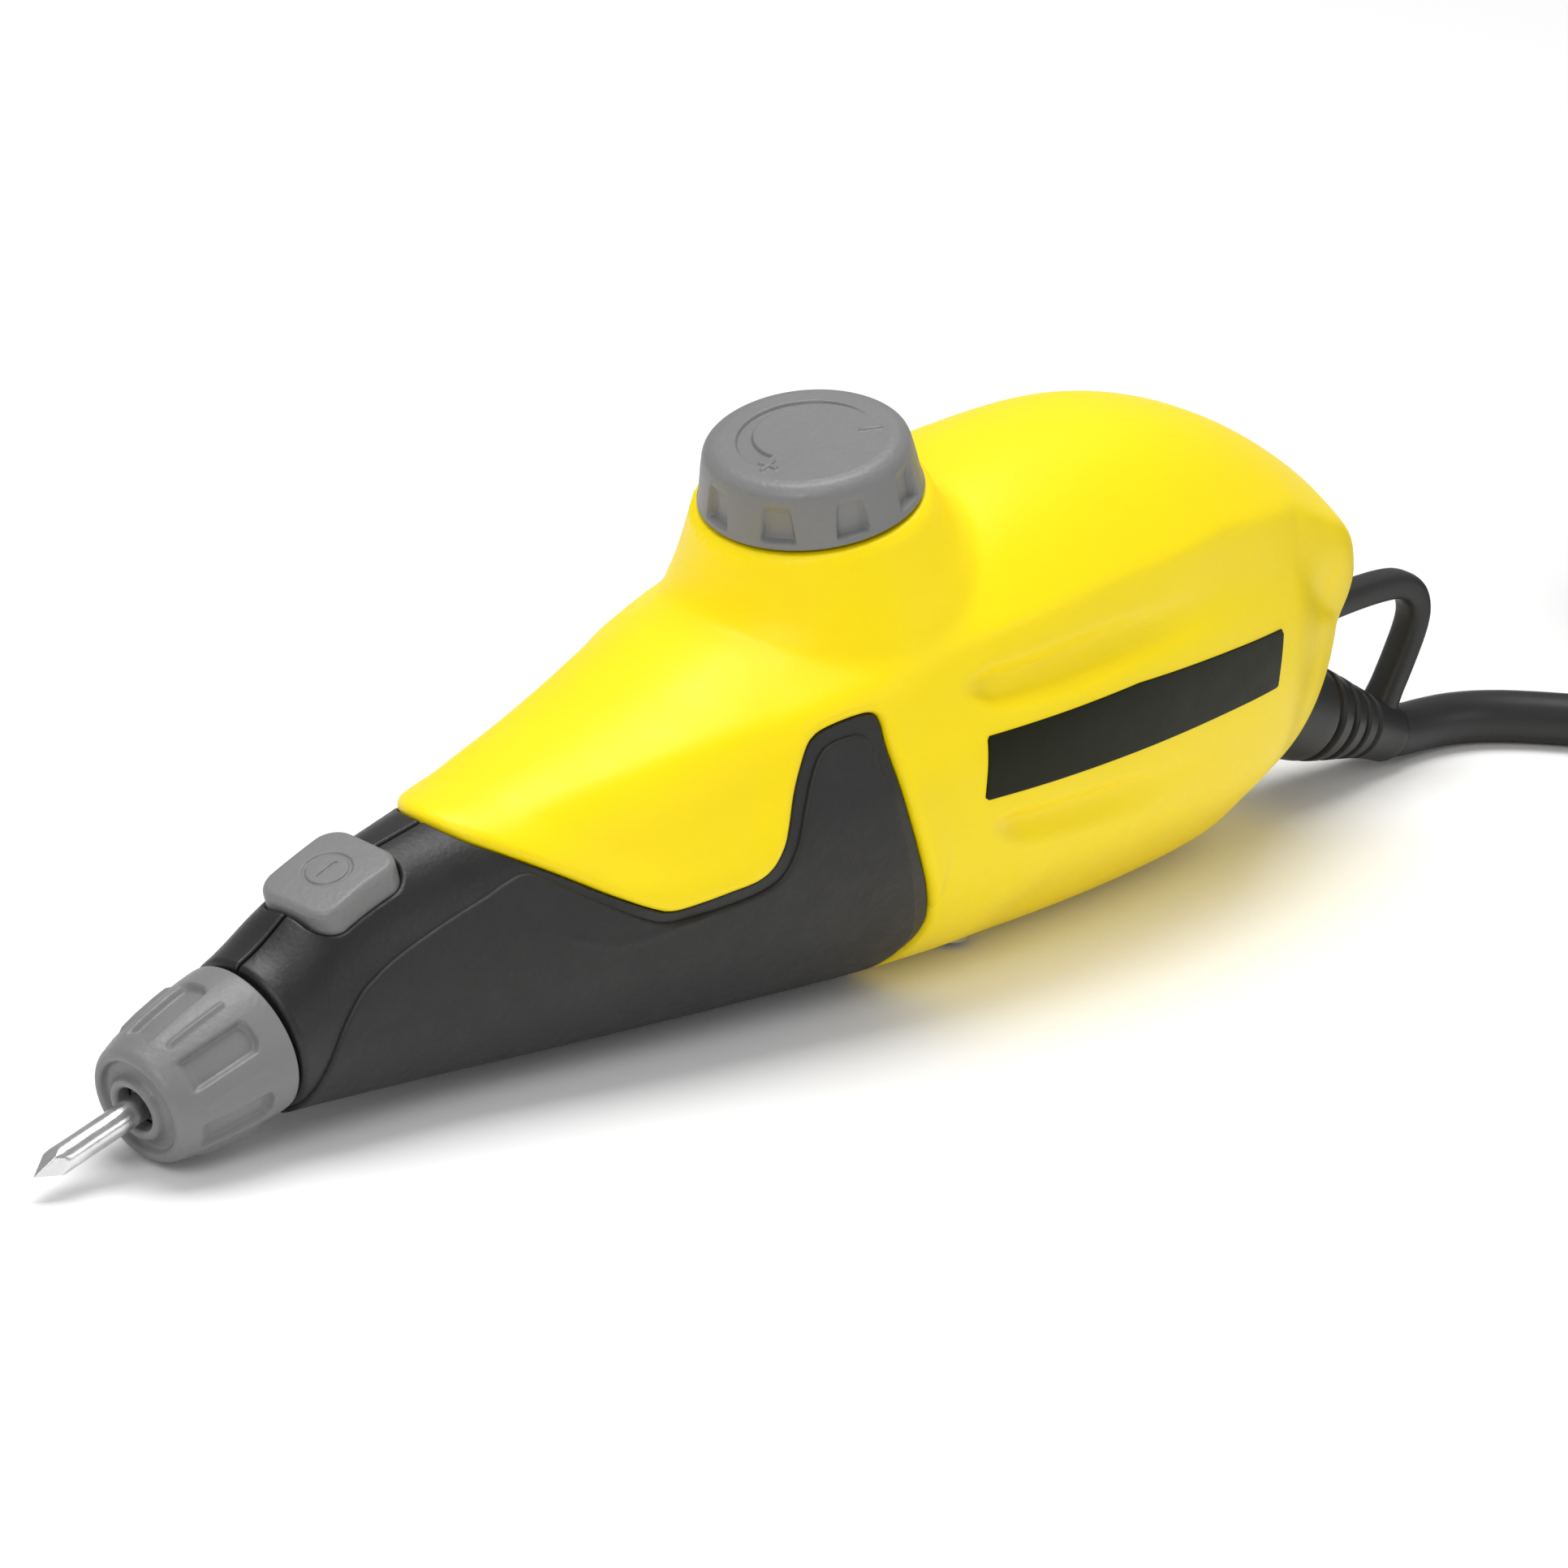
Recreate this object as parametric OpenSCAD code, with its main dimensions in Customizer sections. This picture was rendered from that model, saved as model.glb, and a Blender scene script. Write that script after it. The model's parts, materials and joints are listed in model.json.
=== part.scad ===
// Mains engraving pen: a hammering stylus driven by a laminated electromagnet.
// The tool lies along X with the stylus tip at -X, and rests on its belly at z = 0.

/* [Stylus axis] */
// Pitch of the stylus axis above the table
axis_pitch = 16.5; // [14:0.5:19]
// Height of the stylus tip above the table
tip_z = 2.75; // [2:0.25:6]
// Diameter of the carbide stylus
stylus_d = 3; // [2.4:0.1:3.4]
// Length of the stylus
stylus_l = 22; // [20:0.5:24]
// Length of the ground point
point_l = 3.2; // [2:0.1:5]

/* [Nose] */
// Largest diameter of the nose sleeve
sleeve_d = 16.9; // [15:0.1:18]
// Wall of the nose sleeve
sleeve_wall = 1.8; // [1.2:0.1:2.2]
// Length of the nose sleeve
sleeve_l = 15; // [14:0.5:16]
// Diameter of the hole in the sleeve's front
sleeve_hole_d = 5; // [4.6:0.1:6]
// Diameter of the hammer rod
rod_d = 4; // [3.4:0.1:4.4]
// Outer diameter of the front guide bush
bush_d = 8; // [7:0.1:8.6]

/* [Housing] */
// Wall of the moulded housings
wall = 2.2; // [1.6:0.1:2.6]
// Body width, as a factor on the drawn sections
width_k = 1; // [0.9:0.01:1.2]
// Height of the label plate
label_h = 7.2; // [5:0.1:8]
// Length of the label plate
label_l = 53; // [40:1:54]

/* [Stroke dial] */
// Diameter of the dial at its base
dial_d = 24.6; // [20:0.1:28]
// Height of the dial
dial_h = 7; // [6:0.1:9]
// Lean of the dial axis towards the tip
dial_lean = 15.5; // [12:0.5:18]
// Diameter of the dial shaft
dial_shaft_d = 6; // [5:0.1:8]
// Offset of the cam from the dial axis
cam_throw = 0.8; // [0.4:0.1:1]

/* [Button] */
// Length of the power button
button_l = 12; // [10:0.5:13]
// Width of the power button
button_w = 10.6; // [9:0.1:12]
// Travel of the power button
button_travel = 2; // [1:0.1:2.2]

/* [Magnet] */
// Height of the laminated core
core_h = 22; // [18:0.5:23]
// Thickness of the lamination stack
core_t = 16; // [12:0.5:18]
// Length of the core along the stylus axis
core_l = 22; // [18:0.5:24]
// Air gap between the armature and the core
air_gap = 1.4; // [1:0.1:2]

/* [Cord] */
// Diameter of the mains cord
cord_d = 6.2; // [6:0.1:6.4]
// Diameter of a plug pin
pin_d = 4; // [3.8:0.1:4.2]
// Distance between the plug pins
pin_pitch = 18.6; // [18:0.1:19]
// Free length of a plug pin
pin_l = 19; // [17:0.5:20]

/* [Hidden] */
$fn = 48;

// Clearances and small named sizes
run_gap = 0.05;      // radial running clearance of rods in bushes
free_gap = 0.35;     // gap between pieces that move past each other
seat_gap = 0.1;      // gap between seated pieces
big = 300;

// Stylus tip, at the front end of the object's length
tip_x = -110;

// ---- Control sections of the body: x, bottom, top, half width, centre height, roundness
SECTIONS = [
    [-90, 1.6, 17.2, 8.5, 8.9, 2],
    [-82, 2.3, 20.3, 8.8, 11.1, 2],
    [-76, 2.2, 23.2, 9.3, 12.2, 2],
    [-70, 2, 25.8, 9.9, 13.4, 2.1],
    [-59, 1.6, 29.6, 11.2, 14.8, 2.2],
    [-45, 1, 34.2, 13.8, 17, 2.2],
    [-30, 0.4, 39.2, 16.6, 19.5, 2.2],
    [-15, -0.1, 44.4, 19.2, 22, 2.2],
    [0, -0.5, 49, 21.3, 24.5, 2.25],
    [15, -0.6, 53.8, 22.4, 26, 2.25],
    [30, -0.6, 56.2, 22.2, 27, 2.25],
    [45, -0.3, 56.5, 20.9, 27.5, 2.25],
    [60, 0.7, 52.6, 18.6, 27.5, 2.25],
    [75, 3, 44.5, 14.2, 26.5, 2.25],
    [84, 7, 36, 9.6, 25, 2.2],
    [88.5, 13, 30, 5, 23, 2.1],
    [90, 20, 24, 1.2, 22, 2]
];
SECTION_STEPS = 2;   // drawn sections per control section
AROUND = 28;         // points around a section

function row_slope(i, k) = (SECTIONS[min(i + 1, len(SECTIONS) - 1)][k] - SECTIONS[max(i - 1, 0)][k]) / 2;
function hermite(a, b, m, n, t) =
    a * (2*t*t*t - 3*t*t + 1) + m * (t*t*t - 2*t*t + t) + b * (3*t*t - 2*t*t*t) + n * (t*t*t - t*t);
function section_at(u) =
    let (i = min(floor(u), len(SECTIONS) - 2), t = u - i)
    [for (k = [0:5]) hermite(SECTIONS[i][k], SECTIONS[i + 1][k], row_slope(i, k), row_slope(i + 1, k), t)];
function power_of(v, p) = sign(v) * pow(abs(v), p);
// One ring of the body, drawn in by the given inset
function ring(u, inset) =
    let (s = section_at(u), c = s[4])
    [for (j = [0:AROUND - 1])
        let (a = 360 * j / AROUND, p = 2 / s[5],
             h = sin(a) > 0 ? s[2] - c - inset : c - s[1] - inset)
        [s[0], max(s[3] * width_k - inset, 0.3) * power_of(cos(a), p), c + max(h, 0.3) * power_of(sin(a), p)]];
// Faces of a closed tube of rings, with a fan from a centre point at each end
function tube_faces(rows, cols) = concat(
    [for (i = [0:rows - 2], j = [0:cols - 1]) each
        [[i*cols + j, (i+1)*cols + (j+1)%cols, i*cols + (j+1)%cols],
         [i*cols + j, (i+1)*cols + j, (i+1)*cols + (j+1)%cols]]],
    [for (j = [0:cols - 1]) [rows*cols, j, (j+1)%cols]],
    [for (j = [0:cols - 1]) [rows*cols + 1, (rows-1)*cols + (j+1)%cols, (rows-1)*cols + j]]);
function middle(points) = [for (k = [0:2]) (min([for (p = points) p[k]]) + max([for (p = points) p[k]])) / 2];
// Solid through a list of rings
module ring_solid(rings) {
    n = len(rings);
    polyhedron(concat([for (r = rings) each r], [middle(rings[0]), middle(rings[n - 1])]),
        tube_faces(n, len(rings[0])));
}
// Solid of the body between two control positions
module body_solid(inset, u0, u1) {
    n = round((u1 - u0) * SECTION_STEPS);
    ring_solid([for (i = [0:n]) ring(u0 + (u1 - u0) * i / n, inset)]);
}
LAST = len(SECTIONS) - 1;
module outer_body() { body_solid(0, 3, LAST); }
module inner_body() { body_solid(wall, 3, LAST - 1.5); }

// ---- Frames
// Along the stylus axis, from the tip backwards
module on_axis(s) {
    translate([tip_x, 0, tip_z]) rotate([0, 90 - axis_pitch, 0]) translate([0, 0, s]) children();
}
// Top centre of the dial, with local z pointing out of the dial
dial_top = [-4.5, 0, 61.6];
module on_dial() { translate(dial_top) rotate([0, -dial_lean, 0]) children(); }
// Power button, with its local z pointing out of the nose
button_at = [-71, 0, 25.3];
button_pitch = 22.5;
module on_button() { translate(button_at) rotate([0, -button_pitch, 0]) children(); }
// Strain relief, with its local z pointing out along the cord
relief_pitch = 20;
relief_end = [106, 0, 3.7];
relief_l = 27;
module on_relief() {
    translate(relief_end) rotate([0, 90 + relief_pitch, 0]) translate([0, 0, -relief_l]) children();
}
module tube(h, ro, ri) {
    difference() {
        cylinder(h = h, r = ro);
        translate([0, 0, -1]) cylinder(h = h + 2, r = ri);
    }
}
module block(x0, x1, w, z0, z1) { translate([x0, -w/2, z0]) cube([x1 - x0, w, z1 - z0]); }

// ---- Positions along the stylus axis
sleeve_front = 14.1;
sleeve_rear = sleeve_front + sleeve_l;
shell_front = sleeve_rear + 0.5;
chuck_front = 15.4;
chuck_r = 3.4;
chuck_rear = 27;
tube_front = 20.5;
tube_rear = 35;
collar_end = tube_rear - 2;      // rear of the moulded collar around the nose tube
spring_front = 84.8;
frame_front = 98;
frame_wall = 4;
stop_rear = 112.2;
armature_front = 122;
armature_l = 5;
core_front = armature_front + armature_l + air_gap;
core_rear = core_front + core_l;
magnet_drop = 6.5;               // centre of the magnet below the stylus axis
yoke = 5.5;                      // thickness of the core's back
centre_leg = 7;
outer_leg = 3.5;
sleeve_r = sleeve_d / 2;
rod_r = rod_d / 2;
bush_r = bush_d / 2;
tube_r = sleeve_r - sleeve_wall - 0.5;
core_top = magnet_drop - core_h / 2;      // measured downwards from the stylus axis
core_bottom = magnet_drop + core_h / 2;

// ---- Parting line between the grip shells and the rear housing, seen from the side
module grip_outline() {
    polygon([[-100, -20], [-100, 60], [-58.5, 60], [-58.5, 29.8], [-37.5, 19.9], [-35, 19.3],
        [-25.5, 20.6], [-22.5, 22.4], [-21, 25.5], [-17.4, 34], [-15.6, 35.6], [-9.6, 36.8],
        [-8, 36], [-7, 32], [-4.8, 26], [1.8, 12.4], [3, 9], [3, -20]]);
}
// Outline of the soft grip pads
module pad_outline() {
    polygon([[-78.5, -20], [-78.6, 9.6], [-77.6, 13.5], [-75.4, 17.2], [-71.5, 20.8], [-67, 23],
        [-61, 24.2], [-54, 25.4], [-47, 22.6], [-38, 18.2], [-34.5, 17.6], [-25, 19], [-21, 20.8],
        [-19.2, 24.8], [-16, 32.6], [-14.6, 34], [-10.4, 34.6], [-9, 31.5], [-6.6, 25.4],
        [-0.2, 12], [1, 8.5], [1, -20]]);
}
module side_prism(w) { rotate([90, 0, 0]) translate([0, 0, -w/2]) linear_extrude(w) children(); }
module half_space(side) { translate([-big/2, side > 0 ? 0 : -big, -big/2]) cube([big, big, big]); }
module above_table() { translate([-big/2, -big/2, 0]) cube([big, big, big]); }

// ---- Grip shells
shell_screws_at = [[-52, 6], [-30, 7], [-4, 5.5]];
shell_screw_r = 1.4;
screw_head_r = 2.6;
head_at = [5.5, 8.5, 12];        // how far each screw head lies from the middle
module grip_shell(side) {
    color([0.13, 0.13, 0.13]) difference() {
        intersection() {
            body_solid(0, 0, 9);
            half_space(side);
            side_prism(big) grip_outline();
            above_table();
        }
        difference() {
            body_solid(wall, 0, 9.5);
            on_axis(0) cylinder(h = collar_end, r = tube_r + wall);
            screw_posts();
        }
        on_axis(-100) cylinder(h = 100 + shell_front, r = 60);
        on_axis(0) cylinder(h = collar_end + 1, r = tube_r);
        button_window();
        shell_screw_bores(side);
    }
}
module grip_shell_left() { grip_shell(1); }
module grip_shell_right() { grip_shell(-1); }
module screw_posts() {
    for (p = shell_screws_at) translate([p[0], 30, p[1]]) rotate([90, 0, 0]) cylinder(h = 60, r = 3.4);
}
module shell_screw_bores(side) {
    for (i = [0:2]) translate([shell_screws_at[i][0], 0, shell_screws_at[i][1]]) rotate([-90, 0, 0]) {
        translate([0, 0, -4.5]) cylinder(h = 60, r = shell_screw_r);
        if (side > 0) translate([0, 0, head_at[i]]) cylinder(h = 60, r = screw_head_r + seat_gap);
    }
}
module shell_screws() {
    color([0.6, 0.6, 0.62])
    for (i = [0:2]) translate([shell_screws_at[i][0], 0, shell_screws_at[i][1]]) rotate([-90, 0, 0]) {
        translate([0, 0, -4]) cylinder(h = head_at[i] + 4, r = shell_screw_r - 0.02);
        translate([0, 0, head_at[i] + 0.02]) difference() {
            cylinder(h = 1.6, r = screw_head_r);
            for (q = [0, 90]) rotate([0, 0, q]) translate([-1.5, -0.3, 0.8]) cube([3, 0.6, 2]);
        }
    }
}
pad_t = 0.4;
module grip_pad(side) {
    color([0.2, 0.2, 0.2]) difference() {
        intersection() {
            body_solid(-pad_t, 1, 9);
            half_space(side);
            side_prism(big) pad_outline();
            above_table();
        }
        body_solid(0, 1, 9);
        on_axis(-100) cylinder(h = 100 + shell_front + 3, r = 60);
        shell_screw_bores(side);
    }
}
module grip_pad_left() { grip_pad(1); }
module grip_pad_right() { grip_pad(-1); }

// ---- Rear housing
pad_top = -dial_h - 0.4;         // seat of the dial, in the dial's own frame
dial_bush_r = dial_shaft_d / 2 + 1.5;
frame_floor = core_bottom + 0.2;
module rear_housing() {
    color([1, 0.9, 0.04]) difference() {
        union() {
            intersection() { outer_body(); above_table(); }
            on_dial() translate([0, 0, pad_top - 11]) cylinder(h = 11, r1 = 16.5, r2 = dial_d / 2 + 0.3);
        }
        difference() { inner_body(); housing_bosses(); }
        side_prism(big) grip_outline();
        on_dial() translate([0, 0, -30]) cylinder(h = 60, r = dial_bush_r);
        on_relief() translate([0, 0, -3]) cylinder(h = 30, r = relief_root_r + run_gap);
        loop_slot();
        terminal_bores();
        belly_bores();
    }
}
module housing_bosses() {
    for (side = [-1, 1]) translate([belly_at, side * belly_y, -1]) cylinder(h = pad_h + 1, r = 4.2);
    block(terminal_x - 1, terminal_x + terminal_l + 1, terminal_w, -1, terminal_z);
    block(clamp_x, clamp_x + clamp_l, 17, -1, clamp_z);
}
belly_at = 20;
belly_y = 7;
pad_h = 4.4;
module belly_bores() {
    for (side = [-1, 1]) translate([belly_at, side * belly_y, -1]) {
        cylinder(h = 3.2, r = screw_head_r + seat_gap);
        cylinder(h = 13.5, r = shell_screw_r);
    }
}
module belly_screws() {
    color([0.6, 0.6, 0.62]) for (side = [-1, 1]) translate([belly_at, side * belly_y, 0]) {
        translate([0, 0, 2.1]) cylinder(h = 9, r = shell_screw_r - 0.02);
        translate([0, 0, 0.6]) difference() {
            cylinder(h = 1.58, r = screw_head_r);
            for (q = [0, 90]) rotate([0, 0, q]) translate([-1.5, -0.3, -1]) cube([3, 0.6, 1.7]);
        }
    }
}
label_x = 5.8;
label_z = 25;
label_t = 0.5;
module label_plate(side) {
    color([0.06, 0.06, 0.06]) difference() {
        intersection() {
            body_solid(-label_t, 8, 13);
            translate([label_x, side > 0 ? 0 : -40, label_z]) cube([label_l, 40, label_h]);
        }
        body_solid(0, 8, 13);
    }
}
module label_plate_left() { label_plate(1); }
module label_plate_right() { label_plate(-1); }

// ---- Nose
module nose_tube() {
    color([0.5, 0.5, 0.52]) on_axis(0) difference() {
        union() {
            translate([0, 0, tube_front]) cylinder(h = tube_rear - tube_front, r = tube_r - 0.02);
            translate([0, 0, collar_end + 0.02]) cylinder(h = tube_rear - collar_end - 0.02, r = tube_r + 0.5);
        }
        translate([0, 0, tube_front - 1]) cylinder(h = 30, r = bush_r);
    }
}
module sleeve_profile() {
    polygon([[sleeve_hole_d/2, 15.4], [sleeve_hole_d/2, 13.8], [3.3, 13.7], [3.6, 14.8],
        [5.2, 14.8], [5.5, sleeve_front], [6.1, sleeve_front], [6.8, 14.9], [sleeve_r - 0.8, 17.6],
        [sleeve_r - 0.3, 21], [sleeve_r, 25], [sleeve_r, sleeve_rear], [tube_r + free_gap, sleeve_rear],
        [tube_r + free_gap, 17.4], [4.9, 17.4], [4.9, 15.4]]);
}
pockets = 6;
module nose_sleeve() {
    color([0.5, 0.5, 0.5]) on_axis(0) difference() {
        rotate_extrude($fn = 96) sleeve_profile();
        for (i = [0:pockets - 1]) rotate([0, 0, 360 * (i + 0.5) / pockets])
            translate([sleeve_r - 0.5, -2.1, 18.6]) cube([3, 4.2, 7.4]);
    }
}
module dust_seal() {
    color([0.1, 0.1, 0.1]) on_axis(15.45) tube(1.98, 4.85, 2.4);
}
module sleeve_snap_ring() {
    color([0.7, 0.7, 0.72]) on_axis(17.45) tube(0.7, tube_r + free_gap - 0.02, 4.2);
}

// ---- Hammer
module stylus() {
    color([0.72, 0.72, 0.74]) on_axis(0) {
        cylinder(h = point_l, r1 = 0.15, r2 = stylus_d / 2);
        translate([0, 0, point_l]) cylinder(h = stylus_l - point_l, r = stylus_d / 2);
    }
}
module stylus_chuck() {
    color([0.45, 0.45, 0.47]) on_axis(0) difference() {
        union() {
            translate([0, 0, chuck_front]) cylinder(h = 4, r = stylus_d / 2 + 0.55);
            translate([0, 0, 18.3]) cylinder(h = chuck_rear - 18.3, r = chuck_r);
        }
        translate([0, 0, chuck_front - 1]) cylinder(h = stylus_l + seat_gap - chuck_front + 1, r = stylus_d / 2 + 0.02);
        translate([0, 0, stylus_l]) cylinder(h = 10, r = rod_r - 0.4);
        translate([0, 0, 19.4]) rotate([0, -90, 0]) cylinder(h = 10, r = 0.9);
    }
}
module chuck_set_screw() {
    color([0.2, 0.2, 0.22]) on_axis(19.4) rotate([0, -90, 0]) difference() {
        translate([0, 0, stylus_d / 2 + 0.05]) cylinder(h = chuck_r - stylus_d / 2 - 0.2, r = 0.88);
        translate([0, 0, 2.5]) cylinder(h = 3, r = 0.45, $fn = 6);
    }
}
module drive_rod() {
    color([0.7, 0.7, 0.72]) on_axis(0) {
        translate([0, 0, stylus_l + 0.3]) cylinder(h = chuck_rear - stylus_l, r = rod_r - 0.42);
        translate([0, 0, chuck_rear + 0.02]) cylinder(h = armature_front - chuck_rear - 0.04, r = rod_r);
        translate([0, 0, armature_front - 0.05]) cylinder(h = armature_l, r = rod_r - 0.42);
    }
}
module front_guide_bush() {
    color([0.75, 0.6, 0.3]) on_axis(0) difference() {
        union() {
            translate([0, 0, chuck_rear + 1.4]) cylinder(h = tube_rear - chuck_rear - 1.4, r = bush_r - 0.02);
            translate([0, 0, tube_rear + 0.02]) cylinder(h = 1.4, r = bush_r + 0.8);
        }
        cylinder(h = 60, r = rod_r + run_gap);
    }
}
module rear_guide_bush() {
    color([0.75, 0.6, 0.3]) on_axis(0) difference() {
        union() {
            translate([0, 0, frame_front - 1.4]) cylinder(h = 1.38, r = bush_r + 1.2);
            translate([0, 0, frame_front - 0.1]) cylinder(h = frame_wall + 0.5, r = bush_r - 0.02);
        }
        translate([0, 0, 80]) cylinder(h = 60, r = rod_r + run_gap);
    }
}
// A coil spring along local z, as one swept wire
module coil_spring(length, mean_r, wire_r, turns, steps = 14, sides = 6) {
    n = turns * steps;
    ring_solid([for (i = [0:n]) let (a = 360 * i / steps, z = wire_r + (length - 2 * wire_r) * i / n)
        [for (k = [0:sides - 1]) let (b = -360 * k / sides, r = mean_r + wire_r * cos(b))
            [r * cos(a), r * sin(a), z + wire_r * sin(b)]]]);
}
module return_spring() {
    color([0.6, 0.6, 0.62]) on_axis(spring_front)
        coil_spring(frame_front - 1.36 - spring_front, 3.6, 0.45, 6);
}
module spring_collar() {
    color([0.45, 0.45, 0.47]) on_axis(spring_front - 0.8 - 2.4) tube(2.4, 4.6, rod_r);
}
module stop_collar() {
    color([0.45, 0.45, 0.47]) on_axis(stop_rear - 2.4) difference() {
        union() {
            cylinder(h = 2.4, r = 4.2);
            translate([-8.4, -2.5, 0]) cube([8.4, 5, 2.4]);
        }
        translate([0, 0, -1]) cylinder(h = 5, r = rod_r);
    }
}
module armature() {
    color([0.5, 0.5, 0.52]) on_axis(armature_front) difference() {
        translate([core_top + 1, -core_t/2, 0]) cube([core_h - 2, core_t, armature_l]);
        translate([0, 0, -1]) cylinder(h = 20, r = rod_r - 0.4);
    }
}
module armature_nut() {
    color([0.7, 0.7, 0.72]) on_axis(armature_front - 3.2) difference() {
        cylinder(h = 3.18, r = 4, $fn = 6);
        translate([0, 0, -1]) cylinder(h = 5, r = rod_r);
    }
}

// ---- Magnet
module magnet_frame() {
    w = core_t + 6;
    color([0.3, 0.3, 0.32]) {
        difference() {
            frame_casting(w);
            belly_bores();
        }
    }
}
module frame_posts() {
    difference() {
        for (side = [-1, 1]) translate([belly_at, side * belly_y, pad_h + 0.02]) cylinder(h = 17, r = 3);
        on_axis(0) translate([frame_floor - 20, -30, 100]) cube([21, 60, 60]);
    }
}
module frame_casting(w) {
    frame_posts();
    on_axis(0) difference() {
        union() {
            translate([-bush_r - 2, -w/2, frame_front]) cube([frame_floor + 3 + bush_r + 2, w, frame_wall]);
            translate([frame_floor, -w/2, frame_front]) cube([3, w, core_rear + 1.5 - frame_front]);
            translate([frame_floor, -belly_y - 3.6, 126]) cube([3, 2 * belly_y + 7.2, 8]);
            translate([core_top + 4, -w/2 + 3, core_rear + 0.05]) cube([core_h - 3.5, w - 6, 1.45]);
        }
        translate([0, 0, frame_front - 1]) cylinder(h = frame_wall + 2, r = bush_r);
        bracket_bores();
    }
}
module laminated_core() {
    color([0.42, 0.42, 0.45]) on_axis(core_front) difference() {
        translate([core_top, -core_t/2, 0]) cube([core_h, core_t, core_l]);
        for (x = [core_top + outer_leg, magnet_drop + centre_leg/2])
            translate([x, -core_t, -1])
                cube([(core_h - centre_leg) / 2 - outer_leg, 2 * core_t, core_l - yoke + 1]);
    }
}
window_l = core_l - yoke;
module around_leg(grow, z0, z1) {
    translate([magnet_drop - centre_leg/2 - grow, -core_t/2 - grow, z0])
        cube([centre_leg + 2 * grow, core_t + 2 * grow, z1 - z0]);
}
module coil_bobbin() {
    reach = (core_h - centre_leg) / 2 - outer_leg - 0.15;
    color([0.92, 0.92, 0.86]) on_axis(core_front) difference() {
        union() {
            around_leg(1, 0.4, window_l - 0.1);
            around_leg(reach, 0.4, 1.4);
            around_leg(reach, window_l - 1.1, window_l - 0.1);
        }
        around_leg(0.02, -1, core_l);
    }
}
module coil_winding() {
    reach = (core_h - centre_leg) / 2 - outer_leg - 0.7;
    color([0.72, 0.4, 0.2]) on_axis(core_front) difference() {
        around_leg(reach, 1.42, window_l - 1.12);
        around_leg(1.02, 0, core_l);
    }
}
bracket_t = 1.2;
bracket_y = core_t / 2 + 0.05;
module bracket_bores() {
    for (side = [-1, 1]) translate([frame_floor - 1, side * (bracket_y + 3.2), core_rear - 3])
        rotate([0, 90, 0]) cylinder(h = 6, r = 0.9);
}
module core_bracket() {
    color([0.65, 0.65, 0.67]) on_axis(core_rear - 5) difference() {
        union() {
            translate([core_top - bracket_t - 0.02, -bracket_y - bracket_t, 0])
                cube([bracket_t, 2 * (bracket_y + bracket_t), 4.5]);
            for (side = [-1, 1]) {
                translate([core_top - bracket_t, side > 0 ? bracket_y : -bracket_y - bracket_t, 0])
                    cube([frame_floor - core_top + bracket_t - 0.02, bracket_t, 4.5]);
                translate([frame_floor - bracket_t, side > 0 ? bracket_y : -bracket_y - 4.9, 0])
                    cube([bracket_t - 0.02, 4.9, 4.5]);
            }
        }
        for (side = [-1, 1]) translate([frame_floor - 3, side * (bracket_y + 3.2), 2])
            rotate([0, 90, 0]) cylinder(h = 6, r = 1);
    }
}
module core_screws() {
    color([0.6, 0.6, 0.62]) on_axis(0)
        for (side = [-1, 1]) translate([frame_floor - bracket_t - 0.02, side * (bracket_y + 3.2), core_rear - 3])
            rotate([0, -90, 0]) {
                cylinder(h = 1.1, r = 1.6);
                translate([0, 0, -3.8]) cylinder(h = 3.8, r = 0.88);
            }
}

// ---- Stroke dial
dial_r = dial_d / 2;
shaft_r = dial_shaft_d / 2;
flutes = 9;
flute_w = 4;
cam_bottom = -21.3;
cam_t = 3;
cam_r = 3.4;
module stroke_dial() {
    color([0.5, 0.5, 0.5]) on_dial() difference() {
        rotate_extrude($fn = 96) polygon([[0, 0], [dial_r - 2.6, 0], [dial_r - 1.7, -0.4], [dial_r - 1.3, -1.2],
            [dial_r, 0.6 - dial_h], [dial_r, -dial_h], [0, -dial_h]]);
        translate([0, 0, -dial_h - 1]) difference() {
            cylinder(h = 3.6, r = 9);
            cylinder(h = 3.6, r = shaft_r + 1.6);
        }
        translate([0, 0, -dial_h - 1]) cylinder(h = dial_h - 1.6, r = shaft_r);
        for (i = [0:flutes - 1]) rotate([0, 0, 360 * i / flutes])
            translate([dial_r - 0.8, -flute_w/2, 1.4 - dial_h]) rotate([0, -13, 0]) cube([3, flute_w, dial_h - 2.8]);
        rotate([0, 0, 60]) translate([0, 0, -0.5]) rotate_extrude(angle = 230) translate([7, 0]) square([1, 2]);
    }
}
module dial_shaft() {
    color([0.55, 0.55, 0.57]) on_dial() difference() {
        union() {
            translate([0, 0, cam_bottom + 0.5]) cylinder(h = -2.7 - cam_bottom - 0.5, r = shaft_r - 0.02);
            translate([-cam_throw, 0, cam_bottom]) cylinder(h = cam_t, r = cam_r);
        }
        translate([0, 0, clip_z]) tube(0.9, 5, shaft_r - 0.4);
    }
}
bush_bottom = -16.2;
clip_z = bush_bottom - 1.22;
module dial_circlip() {
    color([0.2, 0.2, 0.22]) on_dial() translate([0, 0, clip_z + 0.02]) difference() {
        tube(0.86, shaft_r + 1.9, shaft_r - 0.38);
        translate([0, -1, -1]) cube([10, 2, 4]);
    }
}
module dial_bush() {
    color([0.9, 0.9, 0.85]) on_dial() translate([0, 0, bush_bottom])
        tube(pad_top - bush_bottom, dial_bush_r - 0.02, shaft_r + run_gap);
}
module dial_detent_spring() {
    color([0.6, 0.6, 0.62]) on_dial() translate([0, 0, pad_top + 0.02]) difference() {
        tube(1.1, 8.2, 5.2);
        for (i = [0:5]) rotate([0, 0, 60 * i]) translate([5, -1, 0.6]) cube([5, 2, 2]);
    }
}

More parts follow.
